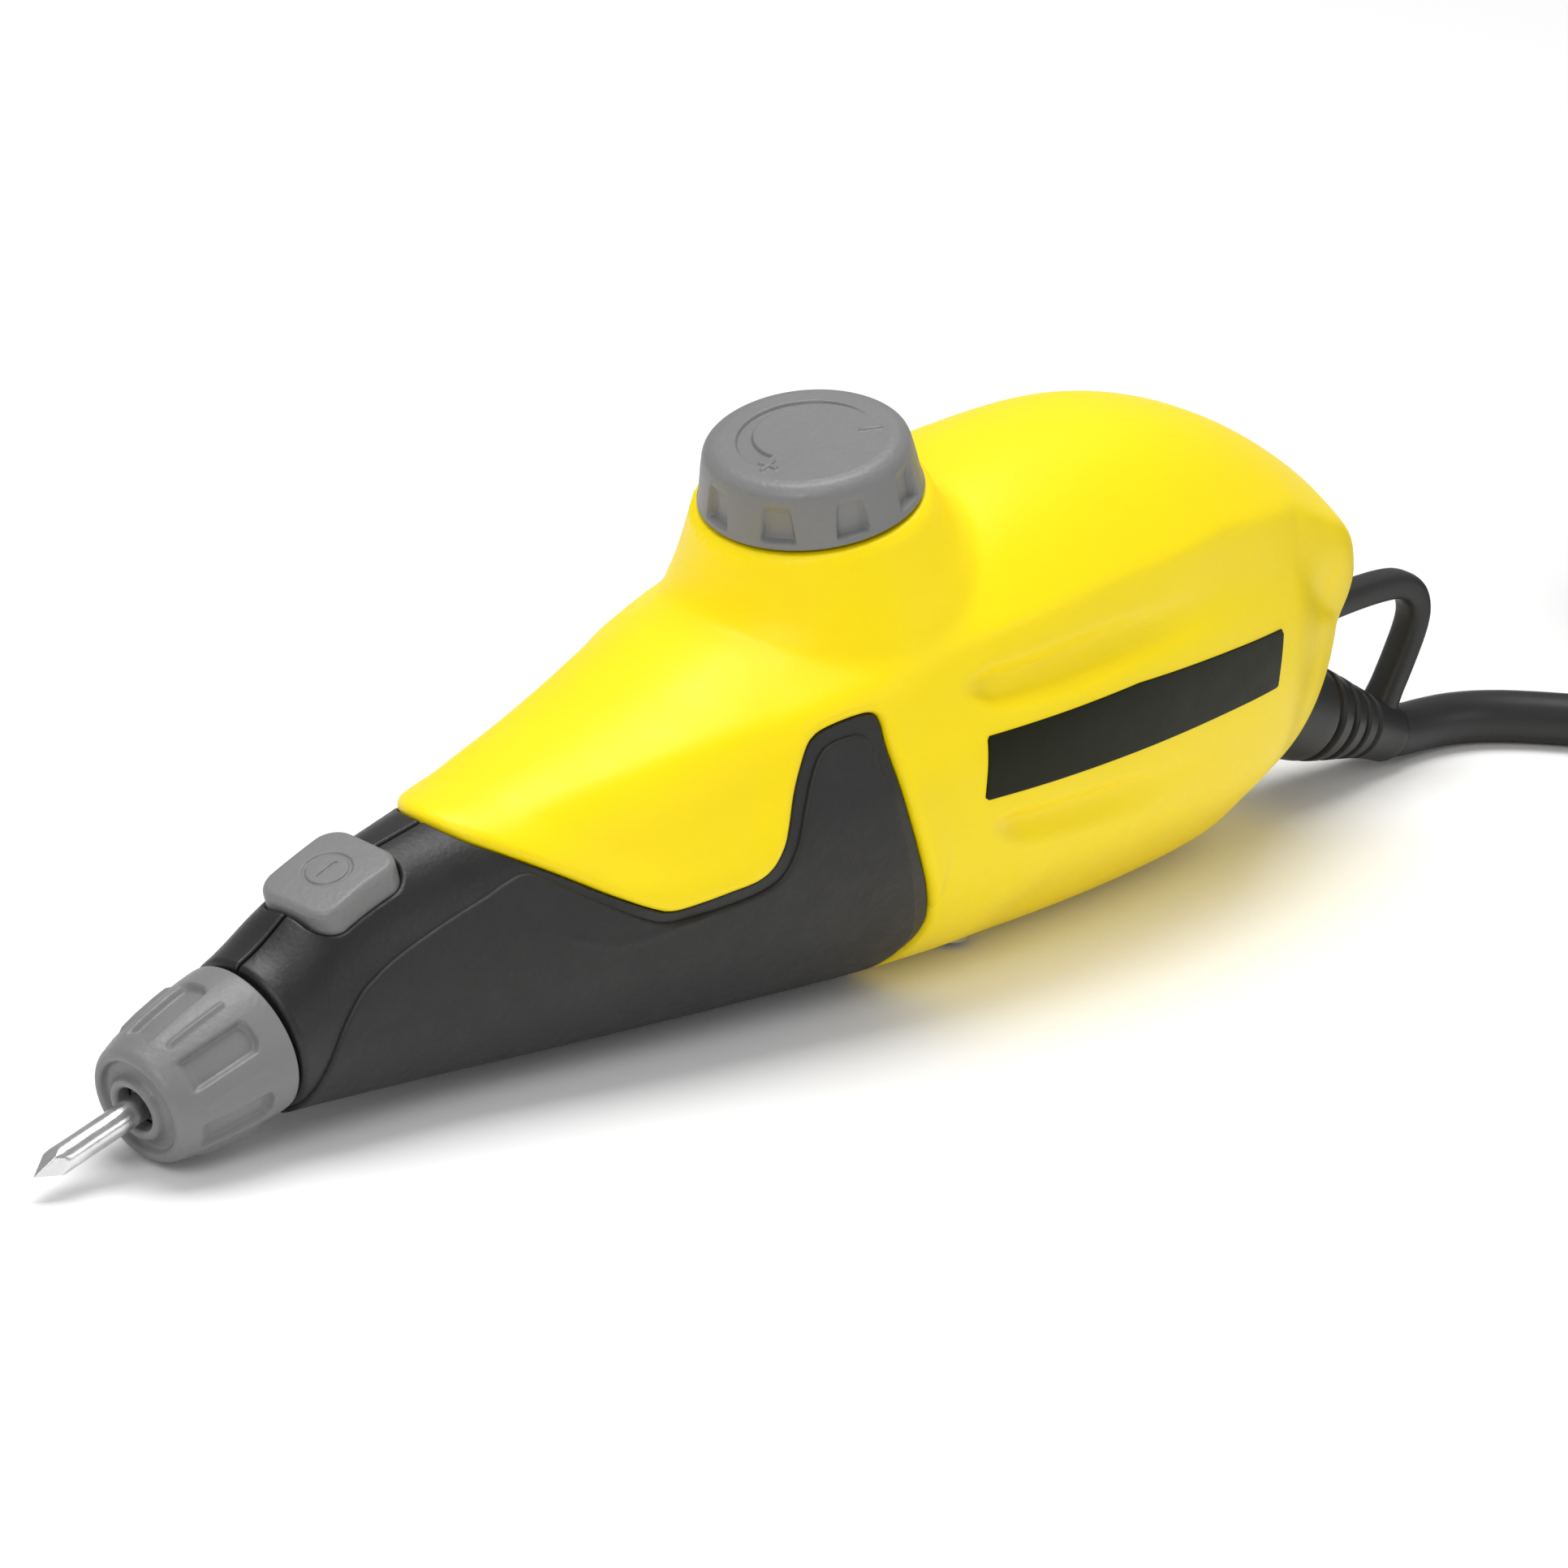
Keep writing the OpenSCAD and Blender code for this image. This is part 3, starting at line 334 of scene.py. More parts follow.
def cord_line():
    """Route of the whole cord: along the table, round the hank, and back over its fold to the plug."""
    pts = [(106, 0, 3.7), (109, 0, 3.3), (113, -0.1, LIE), (117.5, -0.9, LIE), (122, -2.8, LIE),
           (126.6, -6.2, LIE), (131.4, -10.8, LIE), (137, -16.2, LIE), (143.6, -21.4, LIE),
           (151.4, -25.8, LIE), (160, -28.8, LIE), (169, -30, LIE), (178, HANK_Y - LANE_OUT, 3.4)]
    n = int(HANK_END * LAP_POINTS)
    lane = LANE_OUT - LANE_IN
    for i in range(n + 1):
        t = 0.01 + (HANK_END - 0.01) * i / n
        inwards = step(t, 0.76, 1.0) - step(t, 2.38, 2.6) + step(t, 4.05, 4.27) - step(t, 5.75, 5.97)
        level = step(t, 1.55, 1.78) + step(t, 3.22, 3.42) + step(t, 4.92, 5.1)
        pts.append(lap(t, LANE_OUT - lane * inwards, TIE_T + CORD_R + LAYER * level))
    y, z, rise = HANK_Y + LANE_OUT, HANK_TOP - CORD_R, 6.6
    for i in range(1, 5):                         # rises off the top run
        pts.append((HANK_X[0] + 28 - 7 * i, y, z + rise * math.sin(math.radians(22.5 * i)) ** 2))
    for i in range(1, 9):                         # turns back over the fold
        a = math.radians(22.5 * i)
        pts.append((HANK_X[0] - TAIL_R * math.sin(a), y - TAIL_R * (1 - math.cos(a)),
                    z + rise + (PLUG_AT[2] - z - rise) * i / 8))
    pts += [(PLUG_AT[0] - 4, PLUG_AT[1], PLUG_AT[2]), (PLUG_AT[0] + 1, PLUG_AT[1], PLUG_AT[2])]
    return pts


def curve_object(name, pts, radius, mat):
    """Round tube through the points, on one smooth curve."""
    cu = bpy.data.curves.new(name, "CURVE")
    cu.dimensions = "3D"
    sp = cu.splines.new("BEZIER")
    sp.bezier_points.add(len(pts) - 1)
    for b, p in zip(sp.bezier_points, pts):
        b.co = Vector(p) * MM
        b.handle_left_type = b.handle_right_type = "AUTO"
    sp.resolution_u = 3
    cu.bevel_depth = radius * MM
    cu.bevel_resolution = 6
    cu.use_fill_caps = True
    cu.materials.append(MATS[mat])
    ob = bpy.data.objects.new(name, cu)
    bpy.context.scene.collection.objects.link(ob)
    return ob


cord_pts = cord_line()
cord = curve_object("mains_cord", cord_pts, CORD_R, "cord_black")
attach(cord, "housing")
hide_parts("power_cord", "cord_hank", "cord_tail")


def loft(rings):
    """Points and faces of a skin over rings of points, closed at both ends."""
    m = len(rings[0])
    verts = [p for r in rings for p in r]
    faces = grid_faces(len(rings), m)
    for base, flip in ((0, False), ((len(rings) - 1) * m, True)):
        verts.append(np.mean(verts[base:base + m], axis=0))
        c = len(verts) - 1
        for j in range(m):
            f = (c, base + j, base + (j + 1) % m)
            faces.append(f[::-1] if flip else f)
    return verts, faces


def plug():
    """Flat two-pin plug: ribbed cord sleeve, waisted grip, rounded pin face."""
    rings, m = [], 72
    prof = []
    for k in range(60):
        d = PLUG_SLEEVE_L * k / 59
        groove = (np.cos(d * 2 * math.pi / 2.1) > 0.3) * (d > 1.2) * (d < 10)
        r = 3.75 + 1.0 * smoothstep(1, 11, d) - 0.4 * groove
        prof.append((d, r, r, 2.0))
    for k in range(1, 60):
        t = k / 59
        s = smoothstep(0, 0.5, t)
        dip = math.sin(math.pi * min(1, t * 1.05)) ** 2
        half_w, half_h = 4.75 + 10.7 * s - 1.0 * dip, 4.75 + 2.0 * s - 0.9 * dip
        prof.append((PLUG_SLEEVE_L + 20 * t, half_w, half_h, 2.0 + 1.3 * s))
    for k in range(1, 9):
        a = math.pi / 2 * k / 8
        inset = 2 * (1 - math.cos(a))
        prof.append((PLUG_L - 2 + 2 * math.sin(a), 15.45 - inset, 6.75 - inset, 3.3))
    for d, w, h, e in prof:
        ring = []
        for j in range(m):
            a = 2 * math.pi * j / m
            c, s = math.cos(a), math.sin(a)
            p = 2 / e
            ring.append((PLUG_AT[0] + d, PLUG_AT[1] + w * math.copysign(abs(c) ** p, c),
                         PLUG_AT[2] + h * math.copysign(abs(s) ** p, s)))
        rings.append(ring)
    v, f = loft(rings)
    return mesh_object("plug_moulding", v, f, "cord_black")


def pins():
    """Two round contacts, each with a narrower neck and a rounded tip."""
    verts, faces = [], []
    prof = [(30, 2.0), (34.4, 2.0), (35.0, 1.8), (43.4, 1.8), (43.7, 2.0), (51.4, 2.0), (52.3, 1.75),
            (52.8, 1.3), (53, 0.6)]
    for side in (-1, 1):
        base = len(verts)
        rings = [[(PLUG_AT[0] + d, PLUG_AT[1] + side * PIN_HALF_PITCH + r * math.cos(2 * math.pi * j / 32),
                   PLUG_AT[2] + r * math.sin(2 * math.pi * j / 32)) for j in range(32)] for d, r in prof]
        v, f = loft(rings)
        verts += v
        faces += [tuple(i + base for i in q) for q in f]
    return mesh_object("plug_contacts", verts, faces, "plated_steel")


def tie():
    """Flat strap round the middle of the hank."""
    across, inner, outer = 4.0, CORD_R + 0.12, CORD_R + 0.98
    x0 = (HANK_X[0] + HANK_X[1]) / 2
    low, high = TIE_T + CORD_R, HANK_TOP - CORD_R
    spine = []
    corners = ((LANE_OUT, low, -90), (LANE_OUT, high, 0), (-LANE_OUT, high, 90), (-LANE_OUT, low, 180))
    for cy, cz, a0 in corners:
        for k in range(13):
            a = math.radians(a0 + 90 * k / 12)
            spine.append((HANK_Y + cy, cz, math.cos(a), math.sin(a)))
    prof = [(-1, inner), (-1, outer - 0.25), (-0.94, outer), (0.94, outer), (1, outer - 0.25), (1, inner),
            (0.94, inner - 0.02), (-0.94, inner - 0.02)]
    rings = [[(x0 + across * a, cy + r * c, max(cz + r * s, 0.02)) for a, r in prof]
             for cy, cz, c, s in spine]
    m, n = len(prof), len(spine)
    verts = [p for r in rings for p in r]
    faces = []
    for i in range(n):
        for j in range(m):
            a, b = i * m + j, ((i + 1) % n) * m + j
            c, d = ((i + 1) % n) * m + (j + 1) % m, i * m + (j + 1) % m
            faces.append((a, b, c, d))
    return mesh_object("hank_tie", verts, faces, "cord_black")


plug_ob, pins_ob, tie_ob = plug(), pins(), tie()
for ob, node, slot in ((plug_ob, "plug_body", "cord_black"), (pins_ob, "plug_pins", "plated_steel"),
                       (tie_ob, "cord_tie", "cord_black")):
    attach(ob, "housing")
    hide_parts(node)


# ---------------------------------------------------------------- body surface
# cross-sections from nose to tail: x, lowest z, highest z, half width, z of the widest place, and the power
# of the oval's outline (2 is an ellipse)
SECTIONS = np.array([
    [-90, 1.6, 17.2, 8.5, 8.9, 2], [-82, 2.3, 20.7, 8.8, 11.1, 2], [-76, 2.2, 25.0, 9.3, 12.2, 2],
    [-70, 2, 27.4, 9.9, 13.4, 2.1], [-59, 1.6, 30.0, 11.2, 14.8, 2.2], [-45, 1, 32.9, 13.8, 17, 2.2],
    [-30, 0.4, 37.5, 16.6, 19.5, 2.2], [-15, -0.1, 43.6, 19.2, 22, 2.2], [0, -0.5, 49, 21.3, 24.5, 2.25],
    [15, -0.6, 53.8, 22.4, 26, 2.25], [30, -0.6, 56.2, 22.2, 27, 2.25], [45, -0.3, 56.5, 20.9, 27.5, 2.25],
    [60, 0.7, 52.6, 18.6, 27.5, 2.25], [75, 3, 44.5, 14.2, 26.5, 2.25], [84, 7, 36, 9.6, 25, 2.2],
    [88.5, 13, 30, 5, 23, 2.1], [90, 20, 24, 1.2, 22, 2]], float)
LAST = len(SECTIONS) - 1


def sections_at(u):
    """Smoothly interpolated cross-sections."""
    i = np.minimum(np.floor(u).astype(int), LAST - 1)
    t = (u - i)[:, None]
    S = SECTIONS

    def slope(k):
        return (S[np.minimum(k + 1, LAST)] - S[np.maximum(k - 1, 0)]) / 2

    return (S[i] * (2 * t**3 - 3 * t**2 + 1) + slope(i) * (t**3 - 2 * t**2 + t)
            + S[i + 1] * (3 * t**2 - 2 * t**3) + slope(i + 1) * (t**3 - t**2))


NU, NA = 26 * LAST + 1, 264
u = np.linspace(0, LAST, NU)
sec = sections_at(u)
ang = 2 * math.pi * np.arange(NA) / NA
ca, sa = np.cos(ang)[None, :], np.sin(ang)[None, :]
pw = (2 / sec[:, 5])[:, None]
cz = sec[:, 4][:, None]
hh = np.where(sa > 0, sec[:, 2][:, None] - cz, cz - sec[:, 1][:, None])
Y = sec[:, 3][:, None] * np.sign(ca) * np.abs(ca) ** pw
Z = cz + hh * np.sign(sa) * np.abs(sa) ** pw
X = np.repeat(sec[:, 0][:, None], NA, 1)
P = np.stack([X, Y, Z], -1)


def grid_normals(P):
    """Outward normals of the body's grid of points."""
    du = np.gradient(P, axis=0)
    da = np.roll(P, -1, 1) - np.roll(P, 1, 1)
    n = np.cross(da, du)
    n /= np.maximum(np.linalg.norm(n, axis=-1, keepdims=True), 1e-9)
    c = P.mean(axis=1, keepdims=True)
    if ((P - c) * n)[..., 1:].sum() < 0:
        n = -n
    return n


N = grid_normals(P)


def line(xs, pairs):
    """Value at each x of a line through (x, value) pairs."""
    pairs = np.array(pairs, float)
    return np.interp(xs, pairs[:, 0], pairs[:, 1])


def scoop(middle, half, rise, fall):
    """Depth, from 0 to 1, of a hollow along the body with two flanks."""
    q = (Z - line(X, middle)) / line(X, half)
    return smoothstep(*rise, q) * (1 - smoothstep(*fall, q))


# shoulder crest along each side, and the hollow under it
CREST = [(-58, 30), (-51.3, 29.9), (-33.8, 33.4), (-15.7, 37.1), (4.3, 41.9), (24.9, 44.7), (47.4, 46.2),
         (64, 44.3), (76, 38.6), (84, 33.5), (90, 29)]
over = Z - line(X, CREST)
upper = smoothstep(0.0, 0.15, np.abs(sa)) * (sa > 0)
along = smoothstep(-58, -44, X) * (1 - smoothstep(74, 89, X))
ridge = (0.95 * np.exp(-np.abs(np.sqrt(over * over + 0.5) - 0.7) / 3.0)
         - 0.55 * np.exp(-((over + 6.5) / 4.0) ** 2))
D = along * upper * ridge
# the rear and the lower edge draw in under the crest
D += 0.6 * smoothstep(70, 80, X) * np.exp(-(over / 2.5) ** 2) * upper
D -= 2.0 * smoothstep(62, 76, X) * smoothstep(-1.0, -9.0, over)
D -= (1.2 * smoothstep(10, 24, X) * (1 - smoothstep(62, 76, X)) * smoothstep(16, 7, Z)
      * smoothstep(0.95, 0.6, -N[..., 2]))
# scoops above and below the label
D -= (1.5 * scoop([(0, 37.6), (10, 37.4), (30, 38.6), (50, 38.9)],
                  [(2, 0.6), (8, 2.4), (20, 3.0), (50, 2.4)], (-1.35, -0.45), (0.15, 1.05))
      * smoothstep(2.5, 8, X) * (1 - smoothstep(20, 50, X)) * (sa > -0.2))
D -= (1.4 * scoop([(6, 21.6), (14, 20.2), (30, 19.6), (50, 20.0)],
                  [(6, 0.6), (12, 2.2), (24, 2.8), (50, 2.4)], (-1.2, 0.1), (0.3, 1.1))
      * smoothstep(7, 13, X) * (1 - smoothstep(22, 48, X)))
P = P + N * D[..., None]

# swelling round the stroke dial: a collar with a steep flank, blended into the body
COLLAR_R, FOOT_R = 12.9, 16.5
COLLAR_TOP, COLLAR_LIMIT, FOOT_Z = -7.4, -7.25, -18.4
BLEND = 2.3
L = to_local(DIAL, P)
off_axis = np.hypot(L[..., 0], L[..., 1])
cone = np.where(off_axis < FOOT_R, COLLAR_TOP - np.maximum(off_axis - COLLAR_R, 0) * 11 / 3.6,
                FOOT_Z - (off_axis - FOOT_R) * 6)
peak = np.maximum(L[..., 2], cone)
lift = peak + BLEND * np.log(np.exp((L[..., 2] - peak) / BLEND) + np.exp((cone - peak) / BLEND))
lift = np.minimum(lift, np.where(off_axis < COLLAR_R, COLLAR_LIMIT, 1e9)) - L[..., 2]
P = P + (lift * (sa > 0.02) * smoothstep(30, 22, off_axis))[..., None] * DIAL[3]
P[..., 2] = np.maximum(P[..., 2], 0.0)
N = grid_normals(P)


def outline_field(points, P):
    """Signed distance in the side view to a closed outline, positive outside."""
    poly = np.asarray(points, float)
    a, b = poly, np.roll(poly, -1, 0)
    flat = P[..., [0, 2]].reshape(-1, 2)
    best = np.full(len(flat), 1e9)
    inside = np.zeros(len(flat), bool)
    for p, q in zip(a, b):
        d = q - p
        n2 = max(d @ d, 1e-12)
        w = flat - p
        tt = np.clip((w @ d) / n2, 0, 1)
        best = np.minimum(best, ((w - tt[:, None] * d) ** 2).sum(1))
        if p[1] != q[1]:
            cond = (p[1] > flat[:, 1]) != (q[1] > flat[:, 1])
            inside ^= cond & (flat[:, 0] < d[0] * (flat[:, 1] - p[1]) / d[1] + p[0])
    best = np.sqrt(best)
    return np.where(inside, -best, best).reshape(P.shape[:-1])


# the hood's front edge, the grip pad's edge and the fine line on the pad, as (x, z) in the side view
hood_edge = spline([(-58.6, 30.2), (-56.9, 29.2), (-53.9, 27.8), (-48, 24.9), (-42.6, 22.2), (-37.8, 20.0),
                    (-35.4, 19.35), (-32.3, 19.6), (-28.2, 20.25), (-24.8, 20.9), (-22.8, 22.1),
                    (-21.4, 24.2), (-20.6, 26.4), (-19.3, 30.2), (-17.6, 33.9), (-16.2, 35.3), (-14.2, 36),
                    (-11.2, 36.6), (-9, 36.7), (-7.9, 35.8), (-7.1, 32.6), (-5.2, 26.5), (-2.4, 20.3),
                    (0.6, 14.6), (2.6, 10.6), (3.2, 8)], 5)
grip_poly = np.vstack([[(-130, -20), (-130, 70), (-58.6, 70)], hood_edge, [(3.2, -20)]])
pad_edge = spline([(-79.0, 3), (-78.3, 8.6), (-76.9, 13.3), (-74.6, 16.8), (-72.6, 18.4), (-69.8, 20.0),
                   (-65.8, 21.6), (-61.2, 23.2), (-58.1, 24.2), (-55.1, 25.3), (-52.4, 25.9), (-50, 24.9),
                   (-47, 23.2), (-42.6, 20.9), (-38.2, 18.8), (-35.2, 18.1), (-30, 18.5), (-25, 19.3),
                   (-21.7, 20.6), (-20, 23.2), (-18.6, 27.4), (-16.6, 32.1), (-15, 33.9), (-12.2, 34.6),
                   (-10.3, 34.5), (-9.2, 33.2), (-7.4, 28.2), (-4.4, 21.2), (-1.2, 14.2), (1.2, 9.4),
                   (1.7, 6)], 4)
pad_poly = np.vstack([[(-79.0, -20)], pad_edge, [(1.7, -20)]])
PAD_LINE = [(-52, 20.6), (-47.4, 18.3), (-44, 17.3), (-40.6, 16.8), (-37.2, 17.1), (-33.8, 17.7),
            (-30.3, 18.2)]

# fields over the surface, whose levels are the edges of its pieces
NOSE_FROM = 29.6                    # where the grip shells begin, along the stylus axis
SCREW_R = 2.7
SHELL_SCREWS = ((-52, 6), (-30, 7), (-4, 5.5))
BELLY_SCREWS_X, BELLY_SCREWS_Y = 20, (-7, 7)
LABEL_X = (5.8, 58.8)
FAR = 30.0
Lb = to_local(BUTTON, P)
bx = np.abs(Lb[..., 0]) - (BUTTON_L - BUTTON_R)
by = np.abs(Lb[..., 1]) - (BUTTON_W - BUTTON_R)
window = np.hypot(np.maximum(bx, 0), np.maximum(by, 0)) + np.minimum(np.maximum(bx, by), 0) - BUTTON_R
window = np.where(Lb[..., 2] < -9, FAR, window)
nose = to_local(AXIS, P)[..., 0] - NOSE_FROM
screws = np.full(X.shape, FAR)
for sx, sz in SHELL_SCREWS:
    head = np.hypot(P[..., 0] - sx, P[..., 2] - sz) - SCREW_R
    screws = np.minimum(screws, np.where(P[..., 1] > 0, head, FAR))
belly = np.full(X.shape, FAR)
for sy in BELLY_SCREWS_Y:
    head = np.hypot(P[..., 0] - BELLY_SCREWS_X, P[..., 1] - sy) - SCREW_R
    belly = np.minimum(belly, np.where(P[..., 2] < 6, head, FAR))
zt = line(P[..., 0], [(5, 32.0), (30, 33.3), (60, 32.7)])
zb = line(P[..., 0], [(5, 24.8), (30, 25.2), (60, 25.7)])
label = np.minimum(np.minimum(P[..., 0] - LABEL_X[0], LABEL_X[1] - P[..., 0]),
                   np.minimum(P[..., 2] - zb, zt - P[..., 2]))

FIELD = {"part": outline_field(grip_poly, P), "pad": outline_field(pad_poly, P), "window": window,
         "nose": nose, "screws": screws, "belly": belly, "label": label, "side": P[..., 1].copy()}
KEYS = list(FIELD)
# every point's place, normal and distances in one row, and the grid as triangles
BASE = np.concatenate([P.reshape(-1, 3), N.reshape(-1, 3)] + [FIELD[k].reshape(-1, 1) for k in KEYS], 1)
COL = {k: 6 + i for i, k in enumerate(KEYS)}
ii, jj = np.meshgrid(np.arange(NU - 1), np.arange(NA), indexing="ij")
q00, q10 = ii * NA + jj, (ii + 1) * NA + jj
q11, q01 = (ii + 1) * NA + (jj + 1) % NA, ii * NA + (jj + 1) % NA
TRIS = np.concatenate([np.stack([q00, q11, q10], -1).reshape(-1, 3),
                       np.stack([q00, q01, q11], -1).reshape(-1, 3)])


def cut(V, F, key, level):
    """Splits triangles along one level of a field."""
    c = COL[key]
    val = V[:, c] - level
    val = np.where(np.abs(val) < 1e-6, 1e-6, val)
    s = val > 0
    fs = s[F]
    mixed = fs.any(1) & ~fs.all(1)
    if not mixed.any():
        return V, F
    keep, T = F[~mixed], F[mixed]
    sT = s[T]
    odd = np.where(sT.sum(1) == 1, np.argmax(sT, 1), np.argmin(sT, 1))
    idx = np.arange(len(T))
    a, b, d = T[idx, odd], T[idx, (odd + 1) % 3], T[idx, (odd + 2) % 3]
    E = np.concatenate([np.stack([a, b], -1), np.stack([a, d], -1)])
    E.sort(axis=1)
    uq, inv = np.unique(E, axis=0, return_inverse=True)
    inv = inv.reshape(-1)
    v0, v1 = val[uq[:, 0]], val[uq[:, 1]]
    w = (v0 / (v0 - v1))[:, None]
    new = V[uq[:, 0]] + (V[uq[:, 1]] - V[uq[:, 0]]) * w
    new[:, c] = level
    p, q = len(V) + inv[:len(T)], len(V) + inv[len(T):]
    parts = [np.stack([a, p, q], -1), np.stack([p, b, d], -1), np.stack([p, d, q], -1)]
    return np.concatenate([V, new]), np.concatenate([keep] + parts)


def patch(name, mat, limits, base_offset=0.0, skirt=2.2, extra=None):
    """A piece of the body surface, with a skirt turned in along its edges.

    Each limit is a field, its edge's level, the side to keep (+1 is above the level) and the edge's radius.
    """
    V, F = BASE, TRIS
    for key, level, side, rad in limits:
        for f in (0, 0.06, 0.16, 0.32, 0.55, 0.8, 1.0):
            V, F = cut(V, F, key, level + side * rad * f)
    ok = np.ones(len(F), bool)
    for key, level, side, rad in limits:
        ok &= side * (V[F][:, :, COL[key]].mean(1) - level) > 0
    F = F[ok]
    used = np.unique(F)
    remap = np.full(len(V), -1)
    remap[used] = np.arange(len(used))
    V, F = V[used], remap[F]
    n = V[:, 3:6] / np.linalg.norm(V[:, 3:6], axis=1, keepdims=True)
    off = np.full(len(V), base_offset)
    for key, level, side, rad in limits:
        off -= round_drop(np.maximum(side * (V[:, COL[key]] - level), 0), rad)
    if extra is not None:
        off = off + extra(V)
    pos = V[:, :3] + n * off[:, None]
    pos[:, 2] = np.maximum(pos[:, 2], 0.0)
    e = np.concatenate([F[:, [0, 1]], F[:, [1, 2]], F[:, [2, 0]]])
    key = np.sort(e, 1)
    uq, inv, cnt = np.unique(key, axis=0, return_inverse=True, return_counts=True)
    rim = e[cnt[inv.reshape(-1)] == 1]
    rv = np.unique(rim)
    deep = pos[rv] - n[rv] * skirt
    deep[:, 2] = np.maximum(deep[:, 2], 0.0)
    m = np.full(len(pos), -1)
    m[rv] = len(pos) + np.arange(len(rv))
    quads = np.stack([rim[:, 1], rim[:, 0], m[rim[:, 0]], m[rim[:, 1]]], -1)
    faces = F.tolist() + quads.tolist()
    return mesh_object(name, np.concatenate([pos, deep]), faces, mat)


def hood_lip(V):
    """The hood swells a little along its front edge."""
    return 0.35 * (1 - smoothstep(0.9, 5.0, V[:, COL["part"]])) * (V[:, 0] < 2)


def pad_line(V):
    """A fine raised line that runs below the hood's front edge."""
    z = line(V[:, 0], PAD_LINE)
    on = smoothstep(-50, -47, V[:, 0]) * smoothstep(-29.5, -32, V[:, 0])
    return 0.22 * on * np.exp(-((V[:, 2] - z) / 0.4) ** 2)


hood = patch("rear_shell", "yellow_plastic", [("part", 0.0, 1, 1.0), ("belly", 0.0, 1, 0.3)], extra=hood_lip)
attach(hood, "housing")
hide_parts("rear_housing")
for side, tag in ((1, "left"), (-1, "right")):
    shell = patch("grip_shell_skin_" + tag, "black_plastic",
                  [("part", -0.1, -1, 0.3), ("nose", 0.0, 1, 0.9), ("window", 0.45, 1, 0.5),
                   ("side", 0.1 * side, side, 0.4), ("screws", 0.0, 1, 0.3)], base_offset=-0.45)
    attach(shell, "housing")
    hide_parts("grip_shell_" + tag)
    pad = patch("grip_pad_skin_" + tag, "black_rubber",
                [("pad", 0.0, -1, 0.45), ("side", 3.0 * side, side, 0.3), ("screws", 0.3, 1, 0.3)],
                skirt=0.9, extra=pad_line)
    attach(pad, "housing")
    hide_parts("grip_pad_" + tag)
    plate = patch("label_skin_" + tag, "label_foil",
                  [("label", 0.0, 1, 0.12), ("side", 1.0 * side, side, 0.1)], base_offset=0.16, skirt=0.5)
    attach(plate, "housing")
    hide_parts("label_plate_" + tag)


# ---------------------------------------------------------------- nose sleeve
def lathe_grid(fr, ss, rr_fn, m, name, mat, along_x=True):
    """Grid round a local axis. rr_fn takes the share along the profile and the angle, and gives the place
    along the axis and the radius."""
    phi = 2 * math.pi * np.arange(m) / m
    S, PH = np.meshgrid(ss, phi, indexing="ij")
    a, rad = rr_fn(S, PH)
    if along_x:
        loc = np.stack([a, rad * np.sin(PH), rad * np.cos(PH)], -1)
    else:
        loc = np.stack([rad * np.cos(PH), rad * np.sin(PH), a], -1)
    W = to_world(fr, loc.reshape(-1, 3))
    return mesh_object(name, W, grid_faces(len(ss), m), mat)


def resample(profile, n, corner=0.35):
    """Points along a profile with its corners slightly rounded."""
    p = np.array(profile, float)
    out = [p[0]]
    for i in range(1, len(p) - 1):
        a, b, c = p[i - 1], p[i], p[i + 1]
        la, lc = np.linalg.norm(a - b), np.linalg.norm(c - b)
        r = min(corner, la * 0.45, lc * 0.45)
        s, e = b + (a - b) / la * r, b + (c - b) / lc * r
        for k in range(5):
            t = k / 4
            out.append((1 - t) ** 2 * s + 2 * t * (1 - t) * b + t * t * e)
    out.append(p[-1])
    out = np.array(out)
    d = np.concatenate([[0], np.cumsum(np.linalg.norm(np.diff(out, axis=0), axis=1))])
    tt = np.unique(np.concatenate([np.linspace(0, d[-1], n), d]))
    return np.stack([np.interp(tt, d, out[:, 0]), np.interp(tt, d, out[:, 1])], -1)


POCKETS = 6
POCKET_TURN = 0.17 + math.pi / 6    # how far the pockets are turned, in radians
POCKET_HALF, POCKET_DEPTH, POCKET_REAR = 2.05, 0.85, 25.9
RIB_HALF, RIB_H = 0.28, 0.28


